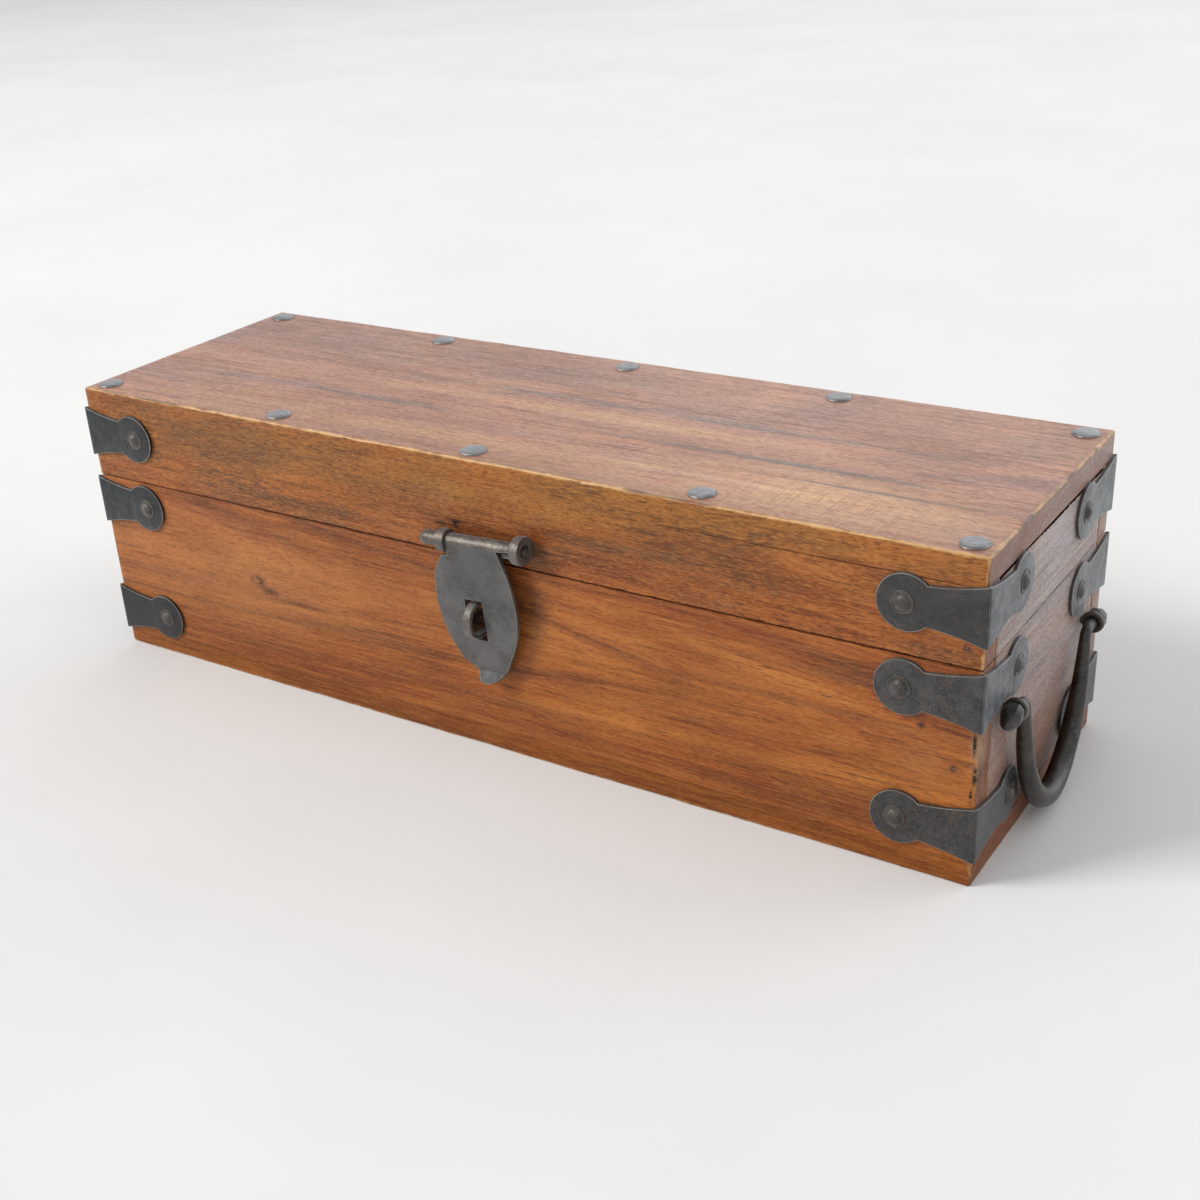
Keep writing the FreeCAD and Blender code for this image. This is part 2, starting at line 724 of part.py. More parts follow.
def add_boards():
    inner_depth = half_depth - wall_thickness
    board("bottom_board", (-half_length, -half_depth, 0),
          (half_length, half_depth, bottom_thickness), is_corner_post)
    levels = (
        ("front_board", "back_board", "left_end_board", "right_end_board",
         bottom_thickness, body_top),
        ("lid_front_rail", "lid_back_rail", "lid_left_rail", "lid_right_rail",
         lid_bottom, rim_top),
    )
    for front, back, left, right, low, high in levels:
        board(front, (-half_length, -half_depth, low), (half_length, -inner_depth, high),
              is_corner_post)
        board(back, (-half_length, inner_depth, low), (half_length, half_depth, high),
              is_corner_post)
        board(left, (-half_length, -inner_depth, low),
              (wall_thickness - half_length, inner_depth, high))
        board(right, (half_length - wall_thickness, -inner_depth, low),
              (half_length, inner_depth, high))
    board("lid_top_board", (-half_length, -half_depth, rim_top),
          (half_length, half_depth, box_height), is_top_or_corner)


add_straps()
add_top_nails()
add_hasp()
add_bails()
add_hinges()
add_boards()

os.makedirs("parts", exist_ok=True)
for name, solids in nodes.items():
    piece = solids[0] if len(solids) == 1 else Part.makeCompound(solids)
    piece.exportStep(os.path.join("parts", name + ".step"))
print("{} nodes, {} solids".format(len(nodes), sum(len(s) for s in nodes.values())))
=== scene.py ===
import math

import bmesh
import bpy
from mathutils import Matrix, Vector, noise


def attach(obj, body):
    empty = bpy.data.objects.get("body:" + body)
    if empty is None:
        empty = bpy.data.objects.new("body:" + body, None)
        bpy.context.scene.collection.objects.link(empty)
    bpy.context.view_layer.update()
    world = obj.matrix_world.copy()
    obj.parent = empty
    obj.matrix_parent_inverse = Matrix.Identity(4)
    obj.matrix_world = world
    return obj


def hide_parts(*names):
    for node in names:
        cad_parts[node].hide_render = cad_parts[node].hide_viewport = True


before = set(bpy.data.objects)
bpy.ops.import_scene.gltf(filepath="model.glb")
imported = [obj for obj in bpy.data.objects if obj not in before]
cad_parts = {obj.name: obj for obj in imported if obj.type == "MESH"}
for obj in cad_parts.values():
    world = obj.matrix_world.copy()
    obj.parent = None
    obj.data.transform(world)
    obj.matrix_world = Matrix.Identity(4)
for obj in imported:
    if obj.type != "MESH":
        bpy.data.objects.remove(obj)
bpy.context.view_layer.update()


# ---- Bottom board -----------------------------------------------------------------------
# One plain hardwood board the full size of the box, on which the walls stand.  It is
# lighter and plainer than the walls, and its lower arris is scuffed from being set down.

MM = 0.001


def tube(rings, count):
    """Faces that join rings of count points one after another and close both ends."""
    faces = []
    for m in range(rings - 1):
        for k in range(count):
            j = (k + 1) % count
            faces.append((m * count + k, m * count + j, (m + 1) * count + j, (m + 1) * count + k))
    faces.append(tuple(range(count)))
    faces.append(tuple(reversed(range((rings - 1) * count, rings * count))))
    return faces


def joinery(name, rings, skin, body, slot, *stands_for):
    """Makes one piece of woodwork from rings of points in millimetres, closed at its ends."""
    corners = [point for ring in rings for point in ring]
    lot = (corners, tube(len(rings), len(rings[0])), 0)
    return assemble(name, [lot], [skin], body, slot, *stands_for)


def assemble(name, lots, skins, body, slot, *stands_for, crease=32):
    """Joins lots of (points, faces, skin number) in one mesh that stands for CAD nodes."""
    points, faces, marks = [], [], []
    for corners, outlines, skin in lots:
        start = len(points)
        points += [Vector(p) * MM for p in corners]
        faces += [tuple(start + i for i in outline) for outline in outlines]
        marks += [skin] * len(outlines) if isinstance(skin, int) else list(skin)
    mesh = bpy.data.meshes.new(name)
    mesh.from_pydata(points, [], faces)
    mesh.polygons.foreach_set("material_index", marks)
    shape = bmesh.new()
    shape.from_mesh(mesh)
    bmesh.ops.recalc_face_normals(shape, faces=shape.faces)
    shape.to_mesh(mesh)
    shape.free()
    mesh.shade_smooth()
    mesh.set_sharp_from_angle(angle=math.radians(crease))
    for skin in skins:
        mesh.materials.append(skin)
    piece = bpy.data.objects.new(name, mesh)
    bpy.context.scene.collection.objects.link(piece)
    if stands_for:
        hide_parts(*stands_for)
    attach(piece, body)
    return piece


def wander(a, b, c=0.0):
    """A smooth irregular value of about -1 to 1 for a place along a worn edge."""
    return noise.noise(Vector((a, b, c))) * 1.6


def worn_plank(low, high, arrises, seed, across=False, chips=()):
    """Rings round a board along its grain, each long arris worn to its own radius.

    arrises are the radii of the four long edges, from the lowest corner anticlockwise seen
    from the end; chips are (edge, place, length, depth).  across turns the grain to Y."""
    if across:
        low, high = (low[1], low[0], low[2]), (high[1], high[0], high[2])
    inset, flat, finest = 0.9, 0.4, 0.12
    steps = max(8, int((high[0] - low[0]) / 3.0))
    stations = [low[0], low[0] + 0.12 * inset, low[0] + 0.45 * inset, low[0] + inset]
    stations += [low[0] + inset + (high[0] - low[0] - 2 * inset) * k / steps
                 for k in range(1, steps)]
    stations += [high[0] - inset, high[0] - 0.45 * inset, high[0] - 0.12 * inset, high[0]]
    edges = ((low[1], low[2], 1, 1, 180), (high[1], low[2], -1, 1, 270),
             (high[1], high[2], -1, -1, 0), (low[1], high[2], 1, -1, 90))
    sweep = [(0, -flat)] + [(18 * k, 0.0) for k in range(6)] + [(90, flat)]
    rings = []
    for x in stations:
        end = min(x - low[0], high[0] - x)
        draw = inset - math.sqrt(max(inset ** 2 - max(inset - end, 0) ** 2, 0))
        ring = []
        for edge, (y, z, sy, sz, first) in enumerate(edges):
            radius = arrises[edge] * (1 + 0.45 * wander(x * 0.045, seed, edge)
                                      + 0.25 * wander(x * 0.31, seed, edge + 9))
            for where, place, length, depth in chips:
                if where == edge and abs(x - place) < length:
                    bite = 1 - (abs(x - place) / length) ** 2
                    radius += depth * bite * (1 + 0.5 * wander(x * 0.9, seed, 5))
            radius = max(radius, finest)
            for angle, beyond in sweep:
                a = math.radians(first + angle)
                ring.append((y + sy * (draw + radius) + radius * math.cos(a)
                             - beyond * math.sin(a),
                             z + sz * (draw + radius) + radius * math.sin(a)
                             + beyond * math.cos(a)))
        rings.append([(y, x, z) if across else (x, y, z) for y, z in ring])
    return rings


def add_node(tree, kind, inputs=None, **settings):
    """Adds a shader node; an input is a plain value or another node's output."""
    made = tree.nodes.new(kind)
    for key, value in settings.items():
        setattr(made, key, value)
    for key, value in (inputs or {}).items():
        if isinstance(value, bpy.types.NodeSocket):
            tree.links.new(value, made.inputs[key])
        else:
            made.inputs[key].default_value = value
    return made


def new_skin(name):
    """A bare material with its shader, and the shader's tree."""
    skin = bpy.data.materials.new(name)
    skin.use_nodes = True
    tree = skin.node_tree
    return skin, tree, tree.nodes["Principled BSDF"]


def sums(tree, operation, a, b=0.0, c=0.0):
    """Arithmetic on values."""
    return add_node(tree, "ShaderNodeMath", {0: a, 1: b, 2: c}, operation=operation).outputs[0]


def place_sums(tree, operation, *places):
    """Arithmetic on places; LENGTH and DISTANCE give a plain value."""
    made = add_node(tree, "ShaderNodeVectorMath", dict(enumerate(places)), operation=operation)
    return made.outputs["Value" if operation in ("LENGTH", "DISTANCE") else "Vector"]


def split(tree, place):
    """The X, Y and Z of a place or direction."""
    return add_node(tree, "ShaderNodeSeparateXYZ", {0: place}).outputs


def cloudy(tree, place, scale, detail, rough, distortion=0.0):
    """Noise of so many clouds per metre."""
    return add_node(tree, "ShaderNodeTexNoise", {
        "Vector": place, "Scale": scale, "Detail": detail, "Roughness": rough,
        "Distortion": distortion})


def grain(tree, place, scale, detail=3.0, rough=0.55, distortion=0.0):
    """Noise drawn out along the board: scale is per metre along, across and through it."""
    stretched = place_sums(tree, "MULTIPLY", place, scale)
    return cloudy(tree, stretched, 1.0, detail, rough, distortion).outputs["Fac"]


def levels(tree, value, low, high, bottom=0.0, top=1.0):
    """Stretches a value between two levels and holds it there."""
    return add_node(tree, "ShaderNodeMapRange", {
        "Value": value, "From Min": low, "From Max": high, "To Min": bottom, "To Max": top},
        interpolation_type="SMOOTHSTEP").outputs[0]


def blend(tree, share, under, over):
    """Lays one colour on another by a share, which is a value or a plain number."""
    return add_node(tree, "ShaderNodeMix", {0: share, 6: under, 7: over},
                    data_type="RGBA").outputs[2]


def tone(r, g, b):
    return (r, g, b, 1.0)


def spot(tree, place, centre, size):
    """1 at a place on a board, falling to 0 at size from it: a knot, a stain or a swirl."""
    away = place_sums(tree, "SUBTRACT", place, centre)
    scaled = place_sums(tree, "MULTIPLY", away, tuple(1 / s for s in size))
    return levels(tree, place_sums(tree, "LENGTH", scaled), 1.0, 0.0)


def near_arris(tree, place, low, high, reach):
    """1 along the arrises of a board whose corners are low and high, 0 away from them."""
    middle = tuple((a + b) / 2 * MM for a, b in zip(low, high))
    half = tuple((b - a) / 2 * MM for a, b in zip(low, high))
    away = place_sums(tree, "ABSOLUTE", place_sums(tree, "SUBTRACT", place, middle))
    x, y, z = split(tree, place_sums(tree, "SUBTRACT", away, half))
    second = sums(tree, "MAXIMUM", sums(tree, "MINIMUM", x, y),
                  sums(tree, "MINIMUM", sums(tree, "MAXIMUM", x, y), z))
    ragged = grain(tree, place, (130, 130, 130), 4.0, 0.65)
    ragged = sums(tree, "MULTIPLY_ADD", ragged, 2.4 * reach, -1.2 * reach)
    return levels(tree, sums(tree, "ADD", second, ragged), -reach, -0.1 * reach)


def growth_rings(tree, at, place, heart, shift, wild):
    """The way along the board, the distance from its heart line, and that distance as a
    place for noise.  heart is (across, up) or (across, up, lean), and wild is how far the
    rings stray from it."""
    taper = 0.06
    run = split(tree, at)["X"]
    drift = cloudy(tree, place, 7.0, 2.0, 0.45).outputs["Color"]
    drift = place_sums(tree, "SUBTRACT", drift, (0.5, 0.5, 0.5))
    drift = place_sums(tree, "MULTIPLY_ADD", drift, (0.0, wild, wild),
                       (0.0, -heart[0] * MM, -heart[1] * MM))
    if len(heart) > 2:
        lean = sums(tree, "MULTIPLY", run, -heart[2])
        drift = place_sums(tree, "ADD", drift,
                           add_node(tree, "ShaderNodeCombineXYZ", {2: lean}).outputs[0])
    from_heart = place_sums(tree, "MULTIPLY", place_sums(tree, "ADD", at, drift),
                            (0.0, 1.0, 1.0))
    ring = sums(tree, "MULTIPLY_ADD", run, taper, place_sums(tree, "LENGTH", from_heart))
    slow = sums(tree, "MULTIPLY", run, 0.006)
    growth = add_node(tree, "ShaderNodeCombineXYZ", {0: ring, 1: slow, 2: shift[0]}).outputs[0]
    return run, ring, growth


def oil_and_dust(shader, shine):
    """What a film of old oil and the dust on it have alike on wood and iron."""
    for part, value in (("Coat Roughness", 0.36), ("Sheen Roughness", 0.45),
                        ("Sheen Tint", (0.85, 0.93, 1.0, 1.0)), ("Specular IOR Level", shine)):
        shader.inputs[part].default_value = value


def oiled_hardwood(name, low, high, heart, shift, along="x", wild=0.014,
                   dark=tone(0.085, 0.020, 0.006), red=tone(0.215, 0.048, 0.008),
                   orange=tone(0.355, 0.098, 0.014), light=tone(0.47, 0.160, 0.030),
                   spots=(), marks=(), lines=(), stained=0.0, scratched=None, marked=None,
                   worn=0.5, open_edges=None, dusty=0.45, polish=0.28, shine=0.30,
                   flecked=1.0):
    """Oiled reddish hardwood.  Its growth rings lie round a heart line and taper along it,
    so they make tongues on a face that cuts them slantwise.  low and high are the board's
    corners and open_edges those whose arrises show wear, if not the board's own.

    spots are stains in the wood and some painted shade and painted sheen, and marks are
    knots, holes, bruises and some painted shade, laid on last: each is (middle, reach,
    share, colour) in metres.  lines are the dark open joints: (height,
    faded at, full at, half width) in millimetres.  marked is the radius of one dark ring,
    and scratched is the (middle, reach) of a patch of saw marks."""
    skin, tree, shader = new_skin(name)
    coordinates = add_node(tree, "ShaderNodeTexCoord")
    raw = coordinates.outputs["Object"]
    facing = split(tree, coordinates.outputs["Normal"])
    up = split(tree, raw)["Z"]
    at = raw
    if along == "y":
        at = add_node(tree, "ShaderNodeMapping",
                      {"Vector": raw, "Rotation": (0, 0, -math.pi / 2)}).outputs[0]
    place = place_sums(tree, "ADD", at, shift)
    run, ring, growth = growth_rings(tree, at, place, heart, shift, wild)
    bands = cloudy(tree, growth, 190.0, 3.0, 0.6).outputs["Fac"]
    rings = cloudy(tree, growth, 820.0, 2.0, 0.6).outputs["Fac"]
    broad = grain(tree, place, (3.5, 22, 22), 3.0, 0.55, 0.4)
    fibre = grain(tree, place, (60, 1900, 1900), 2.0, 0.6)
    fleck = grain(tree, place, (330, 1500, 1500), 3.0, 0.65)
    clouds = grain(tree, place, (11, 36, 36), 4.0, 0.6)
    streaks = grain(tree, place, (24, 560, 560), 3.0, 0.6)
    pores = grain(tree, place, (150, 1900, 1900), 1.0, 0.5)
    mottle = grain(tree, place, (190, 380, 380), 4.0, 0.7)
    grime = grain(tree, place, (170, 900, 900), 4.0, 0.62)
    patches = grain(tree, place, (16, 42, 42), 3.0, 0.6)

    # the wood's own colours, from its late rings to its early ones
    ripe = sums(tree, "MULTIPLY_ADD", bands, 0.55, sums(tree, "MULTIPLY", broad, 0.45))
    ramp = add_node(tree, "ShaderNodeValToRGB", {"Fac": ripe})
    stops = ramp.color_ramp
    stops.elements[0].position, stops.elements[0].color = 0.35, dark
    stops.elements[1].position, stops.elements[1].color = 0.63, light
    for where, colour in ((0.42, red), (0.50, orange)):
        stops.elements.new(where).color = colour
    colour = ramp.outputs["Color"]
    for fall, full, bare, most, shade in ((clouds, 0.34, 0.54, 0.62, red),
                                          (rings, 0.30, 0.52, 0.60, red),
                                          (streaks, 0.32, 0.46, 0.66, dark),
                                          (streaks, 0.70, 0.54, 0.40, light)):
        colour = blend(tree, levels(tree, fall, bare, full, 0.0, most), colour, shade)
    if marked:
        late = sums(tree, "ABSOLUTE", sums(tree, "SUBTRACT", ring, marked * MM))
        late = levels(tree, sums(tree, "MULTIPLY_ADD", rings, 1.4 * MM, late), 2.0 * MM, 0.7 * MM)
        broken = levels(tree, patches, 0.35, 0.55, 0.2, 0.6)
        colour = blend(tree, sums(tree, "MULTIPLY", late, broken), colour, dark)
    # stains, with painted shade and painted sheen where spots are given for them
    for centre, size, share, shade in spots:
        ragged = sums(tree, "MULTIPLY", spot(tree, raw, centre, size),
                      levels(tree, patches, 0.30, 0.58, 0.35, 1.0))
        colour = blend(tree, sums(tree, "MULTIPLY", ragged, share), colour, shade)
    if stained:
        grimy = sums(tree, "MULTIPLY", levels(tree, grime, 0.34, 0.68, 0.10, 0.95),
                     levels(tree, patches, 0.40, 0.66))
        colour = blend(tree, sums(tree, "MULTIPLY", grimy, stained), colour,
                       tone(0.085, 0.040, 0.018))
    pitted = levels(tree, pores, 0.38, 0.28)
    colour = blend(tree, sums(tree, "MULTIPLY", pitted, 0.55), colour, tone(0.06, 0.020, 0.008))
    colour = blend(tree, levels(tree, fibre, 0.42, 0.68, 0.0, 0.22), colour,
                   tone(0.56, 0.24, 0.060))
    colour = blend(tree, levels(tree, fleck, 0.50, 0.34, 0.0, 0.45 * flecked), colour, dark)
    colour = blend(tree, levels(tree, fleck, 0.54, 0.70, 0.0, 0.30 * flecked), colour,
                   tone(0.60, 0.27, 0.065))

    # saw marks, end grain, rubbed arrises, marks and open joints
    height = sums(tree, "MULTIPLY_ADD", fibre, 0.35,
                  sums(tree, "MULTIPLY_ADD", pitted, -0.8, sums(tree, "MULTIPLY", rings, 0.4)))
    if scratched:
        sawn = grain(tree, place, (1300, 26, 26), 2.0, 0.6)
        sawn = sums(tree, "MULTIPLY", levels(tree, sawn, 0.47, 0.36),
                    spot(tree, raw, *scratched))
        sawn = sums(tree, "MULTIPLY", sawn, levels(tree, facing["Z"], 0.7, 0.9))
        colour = blend(tree, sums(tree, "MULTIPLY", sawn, 0.6), colour, tone(0.20, 0.050, 0.022))
        height = sums(tree, "MULTIPLY_ADD", sawn, -1.5, height)
    end_on = levels(tree, sums(tree, "ABSOLUTE", facing["Y" if along == "y" else "X"]),
                    0.75, 0.92)
    cut = levels(tree, sums(tree, "MULTIPLY_ADD", rings, 0.6, sums(tree, "MULTIPLY", mottle, 0.4)),
                 0.40, 0.60)
    colour = blend(tree, sums(tree, "MULTIPLY", end_on, 0.8), colour,
                   blend(tree, cut, tone(0.11, 0.030, 0.012), tone(0.25, 0.080, 0.026)))
    rubbed = near_arris(tree, raw, *(open_edges or (low, high)), 0.0016)
    colour = blend(tree, sums(tree, "MULTIPLY", rubbed, worn), colour,
                   blend(tree, levels(tree, patches, 0.38, 0.52), tone(0.13, 0.060, 0.026),
                         tone(0.64, 0.37, 0.135)))
    # knots, holes and bruises, with painted shade where marks are given for it
    for centre, size, share, shade in marks:
        mark = sums(tree, "MULTIPLY", spot(tree, raw, centre, size),
                    levels(tree, mottle, 0.62, 0.44, 0.2, share))
        colour = blend(tree, mark, colour, shade)
    upright = levels(tree, sums(tree, "ABSOLUTE", facing["Z"]), 0.985, 0.92)
    clean = None
    for level, faded_at, full_at, width in lines:
        off = sums(tree, "ABSOLUTE", sums(tree, "SUBTRACT", up, level * MM))
        off = sums(tree, "MULTIPLY_ADD", mottle, (0.9 + 0.8 * max(width, 0)) * MM, off)
        line = levels(tree, off, (1.3 * width + 0.75) * MM, (1.3 * width + 0.40) * MM)
        line = sums(tree, "MULTIPLY", line, levels(tree, run, faded_at * MM, full_at * MM))
        line = sums(tree, "MULTIPLY", line, upright)
        colour = blend(tree, line, colour, tone(0.012, 0.006, 0.003))
        clear = sums(tree, "SUBTRACT", 1.0, line)
        clean = sums(tree, "MULTIPLY", clean, clear) if clean else clear
    tree.links.new(colour, shader.inputs["Base Color"])

    # the oil's gloss and the dust on it, both weaker low down and none in the open joints
    rough = sums(tree, "MULTIPLY_ADD", mottle, 0.20,
                 sums(tree, "MULTIPLY_ADD", pitted, 0.25, 0.32))
    tree.links.new(rough, shader.inputs["Roughness"])
    uneven = sums(tree, "MULTIPLY_ADD", fleck, 0.45,
                  sums(tree, "MULTIPLY_ADD", streaks, 0.35, sums(tree, "MULTIPLY", clouds, 0.2)))
    bloom = sums(tree, "MULTIPLY", levels(tree, uneven, 0.42, 0.58, 0.62, 1.38),
                 levels(tree, up, 8 * MM, 80 * MM, 0.25, 1.0))
    oil_and_dust(shader, shine)
    if clean:
        tree.links.new(sums(tree, "MULTIPLY", clean, shine), shader.inputs["Specular IOR Level"])
        bloom = sums(tree, "MULTIPLY", clean, bloom)
    for part, weight in (("Coat Weight", polish), ("Sheen Weight", dusty)):
        tree.links.new(sums(tree, "MULTIPLY", bloom, weight), shader.inputs[part])
    bump = add_node(tree, "ShaderNodeBump", {"Height": height, "Strength": 0.35,
                                             "Distance": 0.0004})
    tree.links.new(bump.outputs[0], shader.inputs["Normal"])
    return skin


def plank(name, node, body, slot, low, high, arrises, seed, wood, across=False, chips=()):
    joinery(name, worn_plank(low, high, arrises, seed, across, chips), wood, body, slot, node)


box_length, box_depth, box_height = 500.0, 155.0, 151.0
half_length, half_depth = box_length / 2, box_depth / 2
wall, bottom, top = 13.0, 12.0, 13.5
seam, seam_gap = 102.0, 0.4

low, high = (-half_length, -half_depth, 0), (half_length, half_depth, bottom)
bottom_wood = oiled_hardwood("plain_hardwood", low, high, (0, -160), (3.1, 0.4, 0.2),
                             dark=tone(0.085, 0.019, 0.003), red=tone(0.145, 0.033, 0.004),
                             orange=tone(0.200, 0.050, 0.005), light=tone(0.28, 0.080, 0.009),
                             worn=0.4, dusty=0.08, polish=0.15, shine=0.2, flecked=0.6,
                             open_edges=(low, (half_length, half_depth, 60)))
plank("bottom_plank", "bottom_board", "chest", "bottom_hardwood", low, high,
      (1.3, 1.2, 0.12, 0.12), 1.7, bottom_wood)


# ---- Walls of the chest -----------------------------------------------------------------
# Four butted boards: the front and back run the full length and cover the ends, and they
# are nailed to them.  Their grain runs along, and the front has a swirl and a small knot.

inner = half_depth - wall
chest_top = seam - seam_gap / 2


def on_front(x, z, along, up, share, shade, deep=0.03):
    """A spot or mark on the front: its middle, its reach, its share and its colour."""
    return (x, -half_depth * MM, z), (along, deep, up), share, shade


# Stains and streaks in the wood.  The dark spot just right of the hasp's leaf is a painted shadow
# of the leaf, and the wide spot low down makes the front darker towards the bottom.
front_spots = (
    on_front(0.02, 0.016, 0.30, 0.022, 0.62, tone(0.17, 0.036, 0.007)),
    on_front(0.12, 0.100, 0.20, 0.012, 0.45, tone(0.27, 0.062, 0.012)),
    on_front(-0.15, 0.060, 0.18, 0.050, 0.48, tone(0.48, 0.205, 0.070)),
    on_front(-0.135, 0.0555, 0.0090, 0.0036, 1.0, tone(0.070, 0.022, 0.009), 0.02),
    on_front(-0.110, 0.052, 0.040, 0.0026, 0.80, tone(0.10, 0.028, 0.010), 0.02),
    on_front(0.035, 0.086, 0.014, 0.026, 0.85, tone(0.085, 0.024, 0.009), 0.02),
    on_front(0.10, 0.046, 0.13, 0.0075, 0.45, tone(0.13, 0.032, 0.009)),
    on_front(0.09, 0.060, 0.09, 0.0120, 0.40, tone(0.46, 0.150, 0.022)),
    on_front(-0.02, 0.028, 0.16, 0.0060, 0.50, tone(0.12, 0.030, 0.008)),
    on_front(0.20, 0.085, 0.10, 0.0045, 0.70, tone(0.085, 0.023, 0.009)),
    on_front(0.205, 0.026, 0.07, 0.012, 0.55, tone(0.13, 0.028, 0.008)),
    on_front(0.226, 0.054, 0.020, 0.014, 0.35, tone(0.40, 0.170, 0.065), 0.02),
    on_front(0.17, 0.068, 0.14, 0.0030, 0.50, tone(0.11, 0.030, 0.008)),
    on_front(0.21, 0.050, 0.09, 0.012, 0.35, tone(0.42, 0.150, 0.026)),
    on_front(0.16, 0.030, 0.16, 0.0050, 0.55, tone(0.11, 0.028, 0.008)),
    on_front(0.19, 0.018, 0.14, 0.0080, 0.60, tone(0.12, 0.026, 0.007)),
)
# painted shade on the wood seen through the hasp's slot, the swirl's eye, a flush nail, and the
# splits at the right end
front_marks = (
    on_front(0.004, 0.072, 0.017, 0.016, 1.3, tone(0.012, 0.007, 0.005), 0.02),
    on_front(-0.142, 0.060, 0.0075, 0.0055, 1.2, tone(0.055, 0.018, 0.008), 0.02),
    on_front(0.2403, 0.0552, 0.0024, 0.0024, 1.5, tone(0.025, 0.014, 0.010), 0.02),
    on_front(0.2403, 0.0552, 0.0011, 0.0011, 1.5, tone(0.13, 0.085, 0.055), 0.02),
    on_front(0.2254, 0.0722, 0.0030, 0.0036, 1.1, tone(0.05, 0.022, 0.012), 0.02),
    on_front(0.2500, 0.066, 0.0052, 0.018, 1.01, tone(0.34, 0.200, 0.110), 0.02),
    on_front(0.2484, 0.070, 0.0013, 0.010, 1.6, tone(0.012, 0.007, 0.005), 0.02),
    on_front(0.2492, 0.054, 0.0016, 0.007, 1.6, tone(0.012, 0.007, 0.005), 0.02),
    on_front(0.2480, 0.044, 0.0012, 0.005, 1.6, tone(0.012, 0.007, 0.005), 0.02),
)
low, high = (-half_length, -half_depth, bottom), (half_length, -inner, chest_top)
front_wood = oiled_hardwood("front_hardwood", low, high, (-50, 66, -0.05), (0.0, 0.0, 0.0),
                            wild=0.007, marked=34.5, spots=front_spots, marks=front_marks,
                            lines=((chest_top, -320, -20, 0.0), (bottom, -340, -260, -0.25)),
                            open_edges=((-half_length, -half_depth, -200),
                                        (half_length, 300, 400)),
                            dusty=0.10, polish=0.16, shine=0.22, flecked=0.7)
plank("front_plank", "front_board", "chest", "hardwood", low, high, (0.12, 0.4, 0.5, 0.12), 2.9,
      front_wood, chips=((3, 247, 5, 0.5),))
low, high = (-half_length, inner, bottom), (half_length, half_depth, chest_top)
back_wood = oiled_hardwood("back_hardwood", low, high, (20, 40), (5.3, 1.0, 0.7),
                           open_edges=((-half_length, -300, -200), (half_length, half_depth, 400)))
plank("back_plank", "back_board", "chest", "hardwood", low, high, (0.4, 0.5, 0.8, 0.5), 3.3,
      back_wood)
for side, x in (("left", -half_length), ("right", half_length - wall)):
    low, high = (x, -inner, bottom), (x + wall, inner, chest_top)
    # the bottom of each end board is painted darker and redder: painted shade low down
    painted_low_shade = (x * MM, 0.0, 0.012), (0.05, 0.2, 0.045), 1.0, tone(0.065, 0.010, 0.002)
    wood = oiled_hardwood(side + "_end_hardwood", low, high, (-x + 30, 60), (x * 0.02, 2.0, 0.1),
                          along="y", dark=tone(0.060, 0.015, 0.005), red=tone(0.13, 0.032, 0.007),
                          orange=tone(0.215, 0.062, 0.012), light=tone(0.31, 0.105, 0.023),
                          dusty=0.72, flecked=1.3, worn=0.0,
                          lines=((chest_top, -200, -190, -0.1),), spots=(painted_low_shade,))
    plank(side + "_end_plank", side + "_end_board", "chest", "hardwood", low, high,
          (0.4, 0.5, 0.6, 0.5), 4.1 + x, wood, across=True)


# ---- Lid --------------------------------------------------------------------------------
# Four rails butted as the walls are, and one top board nailed down on them.  The front rail
# has gone golden along its upper part, with dark stains, and the joint above it has opened.

rim = box_height - top
lid_low = seam + seam_gap / 2
gilded = (
    on_front(-0.10, 0.136, 0.26, 0.026, 0.75, tone(0.34, 0.135, 0.022)),
    on_front(0.12, 0.147, 0.24, 0.016, 0.80, tone(0.37, 0.145, 0.024)),
    on_front(0.0, 0.131, 0.09, 0.006, 0.45, tone(0.085, 0.036, 0.014)),
    on_front(0.17, 0.128, 0.12, 0.016, 0.50, tone(0.16, 0.055, 0.014)),
    on_front(0.03, 0.134, 0.10, 0.010, 0.55, tone(0.46, 0.215, 0.040)),
    on_front(0.084, 0.122, 0.06, 0.004, 0.75, tone(0.085, 0.036, 0.014)),
    on_front(0.134, 0.127, 0.016, 0.0025, 0.70, tone(0.06, 0.026, 0.012)),
    on_front(0.094, 0.133, 0.024, 0.0018, 0.75, tone(0.06, 0.026, 0.012)),
    on_front(-0.17, 0.132, 0.09, 0.014, 0.70, tone(0.10, 0.038, 0.016)),
    on_front(-0.10, 0.110, 0.12, 0.004, 0.70, tone(0.085, 0.034, 0.014)),
)
rail_spots = gilded + (
    on_front(0.0, 0.105, 0.30, 0.008, 0.60, tone(0.30, 0.080, 0.015)),
    on_front(0.15, 0.118, 0.12, 0.012, 0.50, tone(0.27, 0.068, 0.012)),
    on_front(0.040, 0.112, 0.0080, 0.0065, 0.8, tone(0.060, 0.030, 0.018), 0.02),
)
